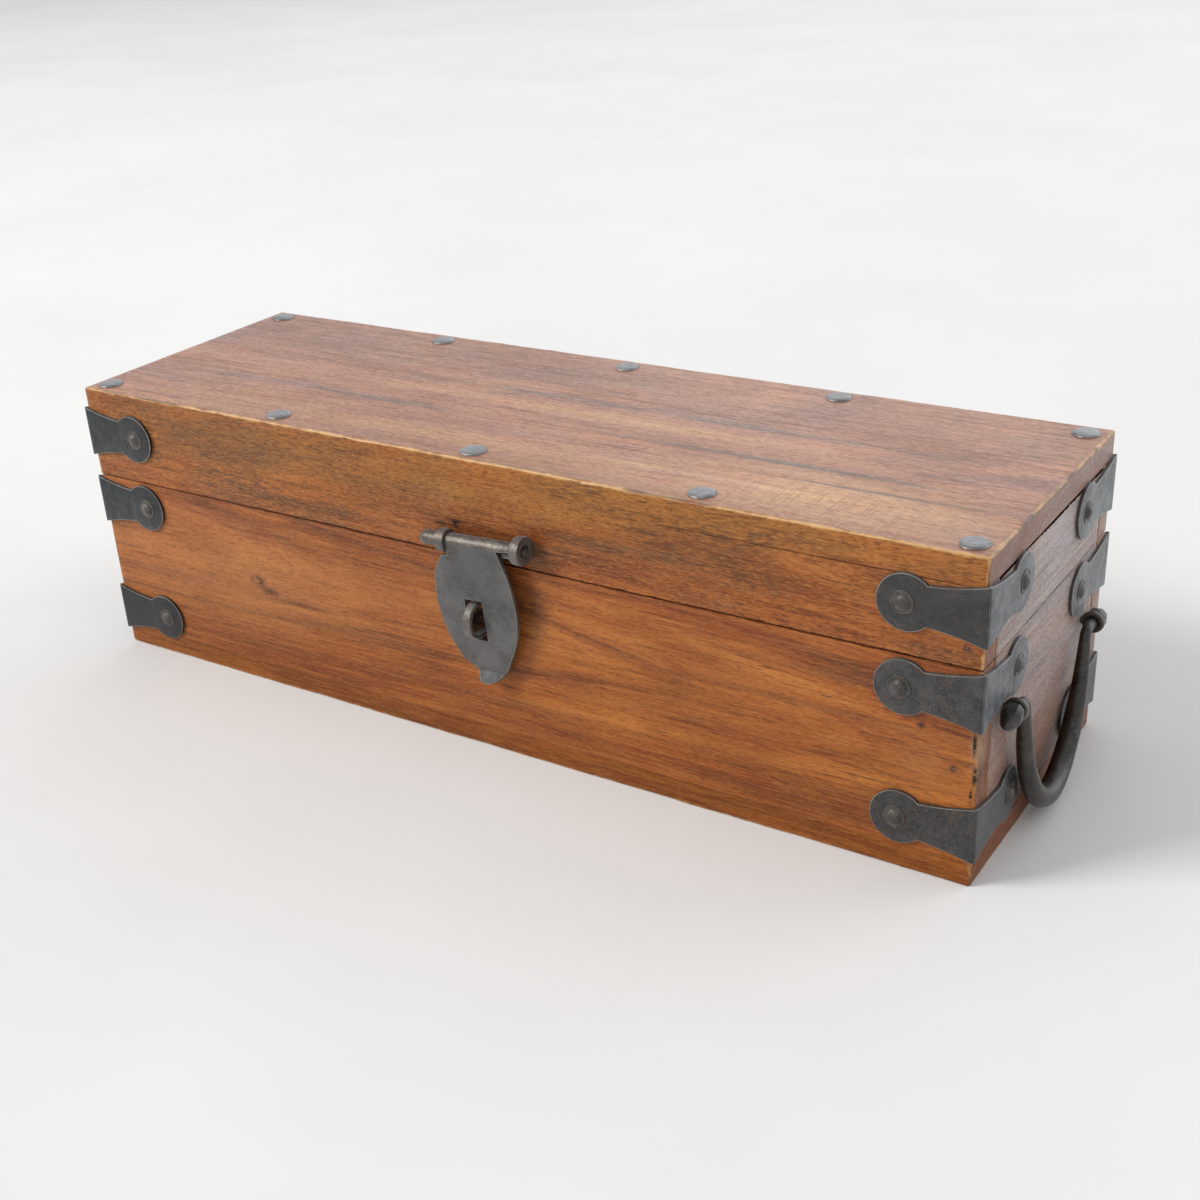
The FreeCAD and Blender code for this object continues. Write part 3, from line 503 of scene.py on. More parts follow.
# a torn hole above the hasp's left eye with painted shade in it, and a flush nail
rail_marks = (
    on_front(-0.006, 0.1175, 0.0060, 0.0036, 1.4, tone(0.012, 0.007, 0.005), 0.02),
    on_front(-0.015, 0.1165, 0.0045, 0.0026, 1.1, tone(0.030, 0.016, 0.010), 0.02),
    on_front(0.2428, 0.1111, 0.0024, 0.0024, 1.5, tone(0.025, 0.014, 0.010), 0.02),
    on_front(0.2428, 0.1111, 0.0011, 0.0011, 1.5, tone(0.13, 0.085, 0.055), 0.02),
)
low, high = (-half_length, -half_depth, lid_low), (half_length, -inner, rim)
rail_wood = oiled_hardwood("lid_front_hardwood", low, high, (-300, 20), (0.9, 0.3, 1.4),
                           stained=0.95, spots=rail_spots, marks=rail_marks,
                           lines=((rim, 60, 110, 0.0), (lid_low, -320, -20, 0.45)), worn=0.8,
                           open_edges=((-half_length, -half_depth, -200),
                                       (half_length, 300, box_height)),
                           dusty=0.10, polish=0.16, shine=0.22, flecked=1.2)
plank("lid_front_plank", "lid_front_rail", "lid", "hardwood", low, high, (0.7, 0.4, 0.3, 0.12),
      6.1, rail_wood, chips=((3, 240, 12, 0.6),))
low, high = (-half_length, inner, lid_low), (half_length, half_depth, rim)
lid_back_wood = oiled_hardwood("lid_back_hardwood", low, high, (130, 60), (4.3, 1.0, 2.7),
                               open_edges=((-half_length, -300, -200),
                                           (half_length, half_depth, 400)))
plank("lid_back_plank", "lid_back_rail", "lid", "hardwood", low, high, (0.4, 0.8, 0.4, 0.3),
      6.7, lid_back_wood)
for side, x in (("left", -half_length), ("right", half_length - wall)):
    low, high = (x, -inner, lid_low), (x + wall, inner, rim)
    wood = oiled_hardwood("lid_{}_hardwood".format(side), low, high, (-x + 60, 20),
                          (x * 0.03, 3.0, 1.1), along="y", stained=0.3,
                          dark=tone(0.075, 0.020, 0.006), red=tone(0.15, 0.040, 0.009),
                          orange=tone(0.22, 0.066, 0.014), light=tone(0.31, 0.110, 0.026),
                          lines=((rim, -200, -190, 0.9), (lid_low, -200, -190, -0.1)),
                          dusty=0.85, worn=0.0)
    plank("lid_{}_plank".format(side), "lid_{}_rail".format(side), "lid", "hardwood", low, high,
          (0.5, 0.5, 1.0, 1.0), 7.1 + x, wood, across=True,
          chips=((2, -30, 26, 0.9), (2, 20, 12, 0.8), (2, 45, 10, 1.2)))


def on_top(x, y, along, across, share, shade):
    """The same on the top."""
    return (x, y, box_height * MM), (along, across, 0.01), share, shade


# Streaks and stains in the wood; but the two wide dark spots at the back are painted shade and the
# wide light one at the front right is painted sheen, for how the light falls off on the top.
top_spots = gilded + (
    on_top(0.0, -0.055, 0.26, 0.018, 0.60, tone(0.56, 0.240, 0.060)),
    on_top(-0.10, 0.050, 0.26, 0.036, 0.62, tone(0.135, 0.048, 0.014)),
    on_top(0.19, 0.050, 0.10, 0.036, 0.55, tone(0.15, 0.050, 0.014)),
    on_top(0.17, -0.048, 0.12, 0.034, 0.80, tone(0.68, 0.330, 0.100)),
    on_top(0.02, -0.002, 0.20, 0.009, 0.75, tone(0.62, 0.270, 0.070)),
    on_top(0.13, -0.050, 0.10, 0.003, 0.80, tone(0.80, 0.480, 0.180)),
    on_top(0.06, 0.014, 0.24, 0.006, 1.0, tone(0.045, 0.015, 0.006)),
    on_top(-0.12, -0.026, 0.15, 0.005, 1.0, tone(0.045, 0.015, 0.006)),
    on_top(0.14, -0.021, 0.14, 0.0035, 1.0, tone(0.040, 0.015, 0.007)),
    on_top(0.19, -0.036, 0.09, 0.0022, 0.9, tone(0.070, 0.025, 0.010)),
)
low, high = (-half_length, -half_depth, rim), (half_length, half_depth, box_height)
top_wood = oiled_hardwood("top_hardwood", low, high, (60, -60), (2.2, 0.8, 0.5), stained=0.35,
                          scratched=((0.17, -0.065, box_height * MM), (0.10, 0.035, 0.02)),
                          spots=top_spots,
                          lines=((rim, 60, 110, 0.0), (rim, 247, 249.5, 0.5)), worn=0.95,
                          open_edges=((-half_length, -half_depth, 60), high), dusty=0.27,
                          flecked=1.2)
top_rings = worn_plank(low, high, (0.12, 0.4, 1.0, 0.9), 8.3, chips=(
    (3, -60, 5, 0.6), (3, 66, 4, 1.0), (3, 92, 6, 0.8), (3, 120, 3, 1.1), (3, 148, 5, 0.7),
    (3, -163, 4, 1.2), (0, 190, 62, 0.7)))
top_plank = joinery("lid_top_plank", top_rings, top_wood, "lid", "hardwood", "lid_top_board")
top_plank.data.materials.append(rail_wood)  # its front edge is stained as the rail is
for face in top_plank.data.polygons:
    if face.normal.y < -0.9:
        face.material_index = 1


# ---- Corner straps ----------------------------------------------------------------------
# Sheet iron cut to a waisted leaf with a round end each side, and bent round the corner
# while hot.  Scale-black with flecks of rust, its sheared rim rubbed grey.

def iron(name, dark, light, rust=0.5, fine=1.0, gloss=0.46, metal=0.40, flecks=0.5,
         oiled=0.4, dusty=0.3, hammered=0.45, darker_places=()):
    """Blackened iron: cloudy scale, fine hammer texture and specks of brown rust.  fine
    makes them all smaller; the places painted blacker are given last as (middle, reach, share)."""
    skin, tree, shader = new_skin(name)
    place = add_node(tree, "ShaderNodeTexCoord").outputs["Object"]
    clouds = grain(tree, place, (70 * fine,) * 3, 4.0, 0.62)
    grit = grain(tree, place, (1100 * fine,) * 3, 3.0, 0.6)
    specks = grain(tree, place, (1250 * fine,) * 3, 2.0, 0.55)
    stains = grain(tree, place, (160 * fine,) * 3, 3.0, 0.6)
    hammer = grain(tree, place, (260 * fine,) * 3, 2.0, 0.5)
    colour = blend(tree, levels(tree, clouds, 0.32, 0.68), dark, light)
    colour = blend(tree, levels(tree, grit, 0.45, 0.75, 0.0, 0.35), colour,
                   tone(*(min(1.0, c * 1.9) for c in light[:3])))
    brown = sums(tree, "MULTIPLY", levels(tree, stains, 0.50, 0.70), 0.55 * rust)
    colour = blend(tree, brown, colour, tone(0.115, 0.062, 0.034))
    colour = blend(tree, levels(tree, specks, 0.61, 0.69, 0.0, flecks), colour,
                   tone(0.22, 0.150, 0.090))
    # places painted blacker
    for centre, size, share in darker_places:
        colour = blend(tree, sums(tree, "MULTIPLY", spot(tree, place, centre, size), share),
                       colour, tone(*(c * 0.35 for c in dark[:3])))
    up = split(tree, place)["Z"]
    bloom = sums(tree, "MULTIPLY", levels(tree, stains, 0.38, 0.62, 0.6, 1.4),
                 levels(tree, up, 8 * MM, 80 * MM, 0.1, 1.0))
    tree.links.new(colour, shader.inputs["Base Color"])
    shader.inputs["Metallic"].default_value = metal
    shader.inputs["Coat Weight"].default_value = oiled
    tree.links.new(sums(tree, "MULTIPLY", bloom, dusty), shader.inputs["Sheen Weight"])
    oil_and_dust(shader, 0.35)
    dull = sums(tree, "MULTIPLY_ADD", clouds, 0.20,
                sums(tree, "MULTIPLY_ADD", grit, 0.16, gloss - 0.18))
    tree.links.new(dull, shader.inputs["Roughness"])
    height = sums(tree, "MULTIPLY_ADD", hammer, 1.0, sums(tree, "MULTIPLY", grit, 0.22))
    bump = add_node(tree, "ShaderNodeBump", {"Height": height, "Strength": hammered,
                                             "Distance": 0.0005})
    tree.links.new(bump.outputs[0], shader.inputs["Normal"])
    return skin


def sheet_iron(outline, thickness, rim, cuts=(), holes=()):
    """A plate from an outline of (along, up): points, faces and skins.  y = 0 is its back
    and y = -thickness its face.  Its face's rim is chamfered and takes the second skin.
    cuts are (axis, place) lines where it can bend; holes are (low, high) rectangles."""
    shape = bmesh.new()
    shape.faces.new([shape.verts.new((x, 0, z)) for x, z in outline])
    cuts = list(cuts) + [(axis, corner[k]) for hole in holes for corner in hole
                         for k, axis in enumerate("xz")]
    for axis, place in cuts:
        centre, normal = (((place, 0, 0), (1, 0, 0)) if axis == "x"
                          else ((0, 0, place), (0, 0, 1)))
        bmesh.ops.bisect_plane(shape, geom=shape.verts[:] + shape.edges[:] + shape.faces[:],
                               plane_co=centre, plane_no=normal, dist=1e-5)
    for low, high in holes:
        gone = [f for f in shape.faces
                if low[0] < f.calc_center_median().x < high[0]
                and low[1] < f.calc_center_median().z < high[1]]
        bmesh.ops.delete(shape, geom=gone, context="FACES")
    for face in shape.faces:
        if face.normal.y > 0:
            face.normal_flip()
    back = shape.faces[:]
    grown = bmesh.ops.extrude_face_region(shape, geom=back, use_keep_orig=True)
    front = [v for v in grown["geom"] if isinstance(v, bmesh.types.BMVert)]
    bmesh.ops.translate(shape, verts=front, vec=(0, -thickness, 0))
    bmesh.ops.recalc_face_normals(shape, faces=shape.faces)
    shape.normal_update()
    rims = [e for e in shape.edges if len(e.link_faces) == 2
            and all(v.co.y < -thickness / 2 for v in e.verts)
            and abs(e.link_faces[0].normal.dot(e.link_faces[1].normal)) < 0.3]
    made = bmesh.ops.bevel(shape, geom=rims, offset=rim, segments=2, profile=0.6,
                           affect="EDGES", clamp_overlap=True)
    rubbed = set(made["faces"])
    shape.verts.index_update()
    points = [tuple(v.co) for v in shape.verts]
    faces = [tuple(v.index for v in f.verts) for f in shape.faces]
    skins = [1 if f in rubbed else 0 for f in shape.faces]
    shape.free()
    return points, faces, skins


strap = {"thickness": 1.7, "root": 13.5, "waist": 9.0, "disc": 12.7, "sag": 0.7,
         "front": 34.0, "end": 38.0, "rim": 0.38}
# the straps at the left end and the right lid strap are painted blacker
strap_iron = iron("strap_iron", tone(0.019, 0.019, 0.021), tone(0.050, 0.049, 0.050), fine=1.2,
                  flecks=0.7, hammered=0.6,
                  darker_places=(((-0.25, -0.0775, 0.09), (0.2, 0.2, 0.2), 1.1),
                         ((0.235, -0.0775, 0.125), (0.06, 0.03, 0.022), 0.6)))
rubbed_iron = iron("rubbed_rim_iron", tone(0.13, 0.120, 0.108), tone(0.27, 0.245, 0.215),
                   rust=0.35, gloss=0.42, metal=0.7)


def strap_edge(reach, toward):
    """The upper edge of one leaf from the corner out to its tip: (along, half height)."""
    root, waist, disc = strap["root"], strap["waist"], strap["disc"]
    neck = reach - math.sqrt(disc ** 2 - waist ** 2)
    edge = [(toward * neck * k / 8, root + (waist - root) * k / 8
             - strap["sag"] * math.sin(math.pi * k / 8)) for k in range(9)]
    first = math.acos(-(reach - neck) / disc)
    turns = 26
    for k in range(1, turns + 1):
        angle = first * (1 - k / turns)
        edge.append((toward * (reach + disc * math.cos(angle)), disc * math.sin(angle)))
    return edge


def corner_strap():
    """One strap for the front right corner, its corner on the Z axis."""
    front = strap_edge(strap["front"], -1)
    end = strap_edge(strap["end"], 1)
    upper = front[::-1] + end[1:]
    lower = [(x, -h) for x, h in upper[-2:0:-1]]
    t = strap["thickness"]
    half = t * math.pi / 4
    bends = [("x", -0.01 + 2 * half * (k / 6 - 0.5)) for k in range(7)]
    points, faces, skins = sheet_iron(upper + lower, t, strap["rim"], bends)
    bent = []
    for s, y, z in points:
        out = -y
        if s < -half:
            bent.append((s + half, -out, z))
        elif s > half:
            bent.append((out, s - half, z))
        else:
            turn = (s + half) / t
            bent.append((out * math.sin(turn), -out * math.cos(turn), z))
    return bent, faces, skins


def moved(lot, change):
    """The same lot with every point put through a change."""
    points, faces, skins = lot
    return [change(*p) for p in points], faces, skins


strap_pattern = corner_strap()
strap_rows = {"lid": (127.0, 126.0), "upper": (88.0, 88.0), "lower": (22.6, 26.0)}
for row, (left_height, right_height) in strap_rows.items():
    for face, toward_y in (("front", -1), ("back", 1)):
        lots = []
        for toward_x, height in ((-1, left_height), (1, right_height)):
            def to_corner(x, y, z, sx=toward_x, sy=-toward_y, h=height):
                return sx * (half_length + x), -sy * half_depth + sy * y, h + z
            lots.append(moved(strap_pattern, to_corner))
        name = "{}_straps_{}".format(row, face)
        assemble(name + "_iron", lots, [strap_iron, rubbed_iron],
                 "lid" if row == "lid" else "chest", "blackened_iron", name, crease=40)


# ---- Nails ------------------------------------------------------------------------------
# Forged nails.  A strap's nail has a domed head with a thin burr round it; those of the top
# are wide, flat and bluish, and sit a little proud of the wood.  Their iron is painted
# lighter than the strap nails', a painted reflection of the sky on their up-facing heads.

def turned(profile, count, wobble, seed):
    """Turns a profile of (radius, out) round -Y: an apex first, then out to the rim."""
    points = []
    for radius, out in profile:
        for k in range(count):
            a = 2 * math.pi * k / count
            r = radius * (1 + wobble * wander(math.cos(a) * 1.3 + seed, math.sin(a) * 1.3, 2.0))
            points.append((r * math.cos(a), -out, r * math.sin(a)))
    return points, tube(len(profile), count), 0


def on_wall(side, along, height, lean=0.0, standing=0.0):
    """A change that puts work drawn on an XZ wall, with -Y outwards, on a side of the box."""
    turn = {"front": 0, "right": 90, "back": 180, "left": -90}[side]
    seat = {"front": (along, -half_depth, height), "back": (along, half_depth, height),
            "right": (half_length, along, height), "left": (-half_length, along, height)}[side]
    pose = (Matrix.Translation(seat) @ Matrix.Rotation(math.radians(turn), 4, "Z")
            @ Matrix.Rotation(math.radians(lean), 4, Vector((0, -1, 0))))

    def change(x, y, z):
        return tuple(pose @ Vector((x, y - standing, z)))
    return change


nail_iron = iron("strap_nail_iron", tone(0.040, 0.036, 0.033), tone(0.105, 0.095, 0.085),
                 rust=0.8, fine=1.7, gloss=0.50, metal=0.5, flecks=0.5, oiled=0.12, hammered=0.9)
# lighter than the strap nails' iron: a painted reflection of the sky on heads that face up
sky_lit_top_nail_iron = iron("sky_lit_top_nail_iron", tone(0.11, 0.104, 0.104), tone(0.245, 0.230, 0.230),
                     rust=0.5, fine=1.5, gloss=0.44, metal=0.7, flecks=0.5, oiled=0.2,
                     hammered=0.9)
strap_nail_profile = ((0.02, 2.1), (1.1, 2.02), (2.1, 1.72), (2.85, 1.20), (3.3, 0.62),
                      (3.5, 0.22), (3.9, 0.15), (4.5, 0.34), (4.9, 0.42), (5.1, 0.30),
                      (5.15, 0.05), (5.1, -0.05), (1.2, -0.1))
nails = {"chest": [], "lid": []}
number = 0
for row, (left_height, right_height) in strap_rows.items():
    owner = "lid" if row == "lid" else "chest"
    for end, toward_x, height in (("left", -1, left_height), ("right", 1, right_height)):
        for face, toward_y in (("front", -1), ("back", 1)):
            for side, along in ((face, toward_x * (half_length - strap["front"])),
                                (end, toward_y * (half_depth - strap["end"]))):
                number += 1
                head = turned(strap_nail_profile, 28, 0.035, number * 1.7)
                nails[owner].append(moved(head, on_wall(side, along, height,
                                                        standing=strap["thickness"])))
assemble("chest_strap_nail_heads", nails["chest"], [nail_iron], "chest", "nail_iron",
         "body_strap_nails")
assemble("lid_strap_nail_heads", nails["lid"], [nail_iron], "lid", "nail_iron",
         "lid_strap_nails")

top_nail_profile = ((0.02, 1.22), (1.6, 1.3), (3.4, 1.24), (4.9, 1.12), (5.7, 0.96), (6.15, 0.62),
                    (6.35, 0.2), (6.3, -0.05), (1.5, -0.1))
top_nails_along, top_nails_in = (-240, -120, 0, 120, 240), 10
heads = []
for toward_y in (-1, 1):
    for k, along in enumerate(top_nails_along):
        head = turned(top_nail_profile, 32, 0.03, k + 9.0 * toward_y)

        def lay_flat(x, y, z, sx=along, sy=toward_y * (half_depth - top_nails_in)):
            return sx + x, sy + z, box_height - y
        heads.append(moved(head, lay_flat))
assemble("top_nail_heads", heads, [sky_lit_top_nail_iron], "lid", "nail_iron", "lid_top_nails")


# ---- Hasp -------------------------------------------------------------------------------
# A leaf of steel plate rolled at its top into a barrel, on a pin with a swaged tail between
# two eyes clenched through the lid.  Its slot drops over a staple of flat bar.

hasp = {"x": 6.5, "axis": 112.4, "standoff": 6.5, "lean": 2.5, "hang": 4.0, "plate": 1.8,
        "pin": 2.05, "barrel_left": -12.0, "barrel_right": 25.7, "roll": 298.0,
        "root": 16.8, "neck": 15.4, "flare": (19.6, 12.0), "flare_end": (22.5, 25.0),
        "widest": 22.9, "widest_at": 31.0, "shoulder": 11.8, "shoulder_at": 62.5,
        "tip_from": 58.0, "bend_at": 66.0, "bend": 30.0, "bend_run": 1.2,
        "slot": (10.0, 21.0), "slot_at": 38.5, "slot_shift": -1.4, "rim": 0.32,
        "eye_wire": 1.8, "eye_tail": 9.0, "eye_play": 0.4}
fit = 0.05
barrel_radius = hasp["pin"] + fit + hasp["plate"]
on_hasp = on_wall("front", hasp["x"], hasp["axis"], hasp["lean"])


def leaf_half(depth):
    """Half the leaf's width at a depth below the pin: two flowing arcs."""
    end, at = (hasp["root"], 0.0) if depth < hasp["widest_at"] else (hasp["shoulder"],
                                                                     hasp["shoulder_at"])
    drop, rise = hasp["widest"] - end, abs(at - hasp["widest_at"])
    radius = (drop ** 2 + rise ** 2) / (2 * drop)
    return hasp["widest"] - radius + math.sqrt(radius ** 2 - (depth - hasp["widest_at"]) ** 2)


def flared_half(depth, notch):
    """The same on the left, where the plate is cut away for the eye and flows out below
    on a curve through three places, each (half width, depth)."""
    through = ((hasp["neck"], notch), hasp["flare"], hasp["flare_end"])
    if depth >= hasp["flare_end"][1]:
        return leaf_half(depth)
    wide = sum(half * math.prod((depth - other) / (at - other)
                                for _, other in through if other != at)
               for half, at in through)
    return min(wide, leaf_half(depth))


def leaf_plate():
    """The leaf laid out flat, its roll above z = 0, then rolled and bent."""
    plate, bend, run = hasp["plate"], math.radians(hasp["bend"]), hasp["bend_run"]
    bend_from = hasp["bend_at"] - run / 2
    middle = barrel_radius - plate / 2
    rolled = math.radians(hasp["roll"]) * middle
    notch = hasp["pin"] + fit + 2 * hasp["eye_wire"] + 0.4
    right = [(hasp["barrel_right"], rolled), (hasp["barrel_right"], 0.9), (hasp["root"], 0.0)]
    left = [(hasp["barrel_left"], rolled), (hasp["barrel_left"], -notch + 0.3),
            (-hasp["neck"], -notch)]
    for k in range(1, 48):
        depth = hasp["shoulder_at"] * k / 48
        if depth < hasp["tip_from"]:
            right.append((leaf_half(depth), -depth))
        if depth > notch + 0.3:
            left.append((-flared_half(depth, notch), -depth))
    tip = [(14.2, -60.2), (13.1, -62.4), (11.7, -64.6), (9.9, -66.8), (7.9, -68.9), (5.6, -70.7),
           (3.4, -71.9), (1.4, -72.5), (-0.6, -72.7), (-2.6, -72.3), (-3.5, -71.4),
           (-4.1, -69.8), (-4.6, -67.9), (-5.3, -66.0), (-7.0, -64.6), (-9.3, -63.4)]
    outline = right + tip + left[::-1]
    slot = [(hasp["slot_shift"] + way * hasp["slot"][0] / 2,
             -hasp["slot_at"] + way * hasp["slot"][1] / 2) for way in (-1, 1)]
    cuts = [("z", rolled * k / 22) for k in range(22)]
    cuts += [("z", -hasp["bend_at"] + run * (k / 4 - 0.5)) for k in range(5)]
    points, faces, skins = sheet_iron(outline, plate, hasp["rim"], cuts, [slot])
    shaped = []
    for x, y, z in points:
        out = -y
        if z > 0:
            angle = z / middle
            radius = middle - plate / 2 + out
            py = -math.cos(angle) * radius
            pz = math.sin(angle) * radius
        else:
            py = -(barrel_radius - plate + out)
            pz = z
            past = -z - bend_from
            if past > 0:
                turn = min(past / run, 1.0) * bend
                beyond = max(past - run, 0)
                pivot = run / bend
                radius = pivot - (out - plate / 2)
                py = -middle - pivot + radius * math.cos(turn) - beyond * math.sin(turn)
                pz = -bend_from - radius * math.sin(turn) - beyond * math.cos(turn)
        hang = math.radians(hasp["hang"])
        py, pz = (py * math.cos(hang) - pz * math.sin(hang),
                  py * math.sin(hang) + pz * math.cos(hang))
        shaped.append((x, py - hasp["standoff"], pz))
    for n, face in enumerate(faces):
        if skins[n] == 0 and min(points[k][2] for k in face) >= -0.01:
            skins[n] = 2
    return shaped, faces, skins


# the top of the leaf, under its barrel, is painted blacker
leaf_steel = iron("leaf_steel", tone(0.070, 0.069, 0.066), tone(0.135, 0.133, 0.127),
                  rust=0.12, fine=0.8, gloss=0.46, metal=0.75, flecks=0.12, hammered=0.6,
                  darker_places=(((0.004, -0.088, 0.104), (0.04, 0.04, 0.034), 0.32),))
bright_rim = iron("leaf_rim_steel", tone(0.16, 0.16, 0.15), tone(0.27, 0.26, 0.25), rust=0.2,
                  gloss=0.38, metal=0.8, flecks=0.1)
fitting_iron = iron("fitting_iron", tone(0.062, 0.054, 0.047), tone(0.165, 0.148, 0.131),
                    rust=0.7, fine=1.6, gloss=0.45, metal=0.70, flecks=0.6, oiled=0.12,
                    hammered=0.8)
assemble("hasp_leaf", [moved(leaf_plate(), on_hasp)], [leaf_steel, bright_rim, fitting_iron],
         "hasp", "hasp_steel", "hasp_plate", crease=34)


def rod(path, radii, count, square, seed, dents):
    """A forged rod along a path: a ring at each point, round or squared, with dents."""
    points = []
    for m, centre in enumerate(path):
        ahead = Vector(path[min(m + 1, len(path) - 1)]) - Vector(path[max(m - 1, 0)])
        ahead.normalize()
        if m == 0:
            side = ahead.cross(Vector((0, 1, 0)))
            if side.length < 0.1:
                side = ahead.cross(Vector((0, 0, 1)))
            side.normalize()
        side = (side - ahead * side.dot(ahead)).normalized()
        other = ahead.cross(side)
        for k in range(count):
            a = 2 * math.pi * k / count
            r = radii[m] * (1 + dents * wander(m * 0.45 + seed, math.cos(a) * 1.4,
                                               math.sin(a) * 1.4))
            if square:
                r *= 1 + square * (1 / max(abs(math.cos(a)), abs(math.sin(a))) - 1)
            points.append(tuple(Vector(centre) + (side * math.cos(a) + other * math.sin(a)) * r))
    return points, tube(len(path), count), 0


def clenched_eye(hole, wire, standoff, shank, tail, thick, seed, broad=1.0, square=0.25):
    """A ring of bar round X, and its legs through the wall with their ends turned over.
    broad is how much wider the bar is along the pin than it is thick."""
    ring, turns = hole + wire, 36
    path = [(0, ring * math.cos(2 * math.pi * k / turns) - standoff,
             ring * math.sin(2 * math.pi * k / turns)) for k in range(turns + 1)]
    band = rod(path, [wire] * (turns + 1), 16, square, seed, 0.04)
    start, inside = ring - standoff + 0.3, wall + thick / 2
    leg = [(0, start + (inside - start) * k / 6, 0) for k in range(7)]
    lots = [moved(band, lambda x, y, z: (x * broad, y, z)),
            rod(leg, [shank] * 7, 12, 0.8, seed, 0.0)]
    for way in (-1, 1):
        run = [(0, inside, way * tail * k / 6) for k in range(7)]
        tapering = [thick / 2 * (1 - 0.35 * k / 6) for k in range(7)]
        lots.append(rod(run, tapering, 12, 0.7, seed + way, 0.05))
    return lots


eye_half = {"left": 2.7, "right": 2.5}
left_eye = hasp["barrel_left"] - hasp["eye_play"] - eye_half["left"]
right_eye = hasp["barrel_right"] + hasp["eye_play"] + eye_half["right"]
lots = []
for x, hole, wire, half, lift in ((left_eye, hasp["pin"] + fit, 1.75, eye_half["left"], 0.0),
                                  (right_eye, 3.0, 1.95, eye_half["right"], 0.8)):
    for lot in clenched_eye(hole, wire, hasp["standoff"], hasp["eye_wire"], hasp["eye_tail"],
                            1.8, 3.1 + x, half / wire, 0.6):
        lots.append(moved(lot, lambda px, py, pz, sx=x, sz=lift: on_hasp(px + sx, py, pz + sz)))
assemble("hasp_eye_pair", lots, [fitting_iron], "lid", "bright_iron", "hasp_eyes", crease=50)

left_face, right_face = left_eye - eye_half["left"], right_eye + eye_half["right"]
pin_places = [(left_face - 10.2, 1.5), (left_face - 9.9, 2.4), (left_face - 9.3, 3.0),
              (left_face - 8.3, 3.4), (left_face - 6.8, 3.6), (left_face - 5.0, 3.55),
              (left_face - 3.2, 3.4), (left_face - 1.2, 3.45), (left_face - 0.2, 3.4),
              (left_face, 2.6), (left_face + 0.1, 2.05), (right_face - 0.4, 2.05),
              (right_face + 0.1, 1.9), (right_face + 0.3, 1.4)]
pin = rod([(x, -hasp["standoff"], 0) for x, r in pin_places], [r for x, r in pin_places], 20,
          0.10, 4.4, 0.05)
assemble("hasp_pin_iron", [moved(pin, on_hasp)], [fitting_iron], "lid", "bright_iron",
         "hasp_pin", crease=45)


def staple_bar():
    """Flat bar bent to a hoop, its legs through the front board and turned over."""
    radius, bar, width, reach = 9.3, 2.2, 4.5, 15.8
    middle, centre = radius - bar / 2, radius - reach
    path = [(0, wall + 0.9, middle + 8.0), (0, wall + 0.9, middle + 1.2),
            (0, wall + 0.5, middle + 0.3), (0, wall - 1.0, middle)]
    path += [(0, centre + (wall - 1 - centre) * (1 - k / 6), middle) for k in range(1, 6)]
    path += [(0, centre - middle * math.sin(math.pi * k / 24), middle * math.cos(math.pi * k / 24))
             for k in range(25)]
    path += [(0, centre + (wall - 1 - centre) * k / 6, -middle) for k in range(1, 6)]
    path += [(0, wall - 1.0, -middle), (0, wall + 0.5, -middle - 0.3),
             (0, wall + 0.9, -middle - 1.2), (0, wall + 0.9, -middle - 8.0)]
    corners = [(0.5, 0.36), (0.46, 0.46), (0.36, 0.5), (-0.36, 0.5), (-0.46, 0.46), (-0.5, 0.36),
               (-0.5, -0.36), (-0.46, -0.46), (-0.36, -0.5), (0.36, -0.5), (0.46, -0.46),
               (0.5, -0.36)]
    points = []
    for m, on_path in enumerate(path):
        ahead = (Vector(path[min(m + 1, len(path) - 1)])
                 - Vector(path[max(m - 1, 0)])).normalized()
        out = ahead.cross(Vector((1, 0, 0)))
        for across, through in corners:
            points.append(tuple(Vector(on_path) + Vector((across * width, 0, 0))
                                + out * through * bar))
    return points, tube(len(path), len(corners)), 0


staple = moved(staple_bar(), lambda x, y, z: on_hasp(x + hasp["slot_shift"], y,
                                                     z - hasp["slot_at"]))
assemble("hasp_staple_iron", [staple], [fitting_iron], "chest", "bright_iron", "hasp_staple",
         crease=40)


# ---- Bail handles -----------------------------------------------------------------------
# One bar forged to swell from its journals to the grip, hung in two clenched eyes on each
# end board.  Square knobs with their corners knocked off keep it in the eyes.

bail = {"half_span": 39.5, "depth": 63.0, "shape": 1.86, "grip": 5.2, "journal": 2.5,
        "bend": 4.5, "tilt": 2.0, "standoff": 5.5, "height": 71.0, "eyes": 101.0,
        "slack": 0.4, "wire": 1.2, "shank": 1.6, "knob": 8.8, "knob_corner": 4.9,
        "collar": 4.2, "point": 5.6, "play": 1.2, "elbow": 0.8}
bail_iron = iron("bail_iron", tone(0.010, 0.009, 0.009), tone(0.058, 0.053, 0.046), rust=0.5,
                 fine=1.0, gloss=0.42, metal=0.7, flecks=0.35, dusty=0.04, hammered=0.6)
knob_iron = iron("knob_iron", tone(0.016, 0.015, 0.016), tone(0.048, 0.046, 0.046), rust=0.3,
                 fine=1.4, gloss=0.36, metal=0.7, flecks=0.15, dusty=0.15, hammered=0.8)
eye_iron = iron("bail_eye_iron", tone(0.040, 0.033, 0.028), tone(0.11, 0.092, 0.078), rust=0.9,
                fine=1.6, gloss=0.42, metal=0.6, flecks=0.3)


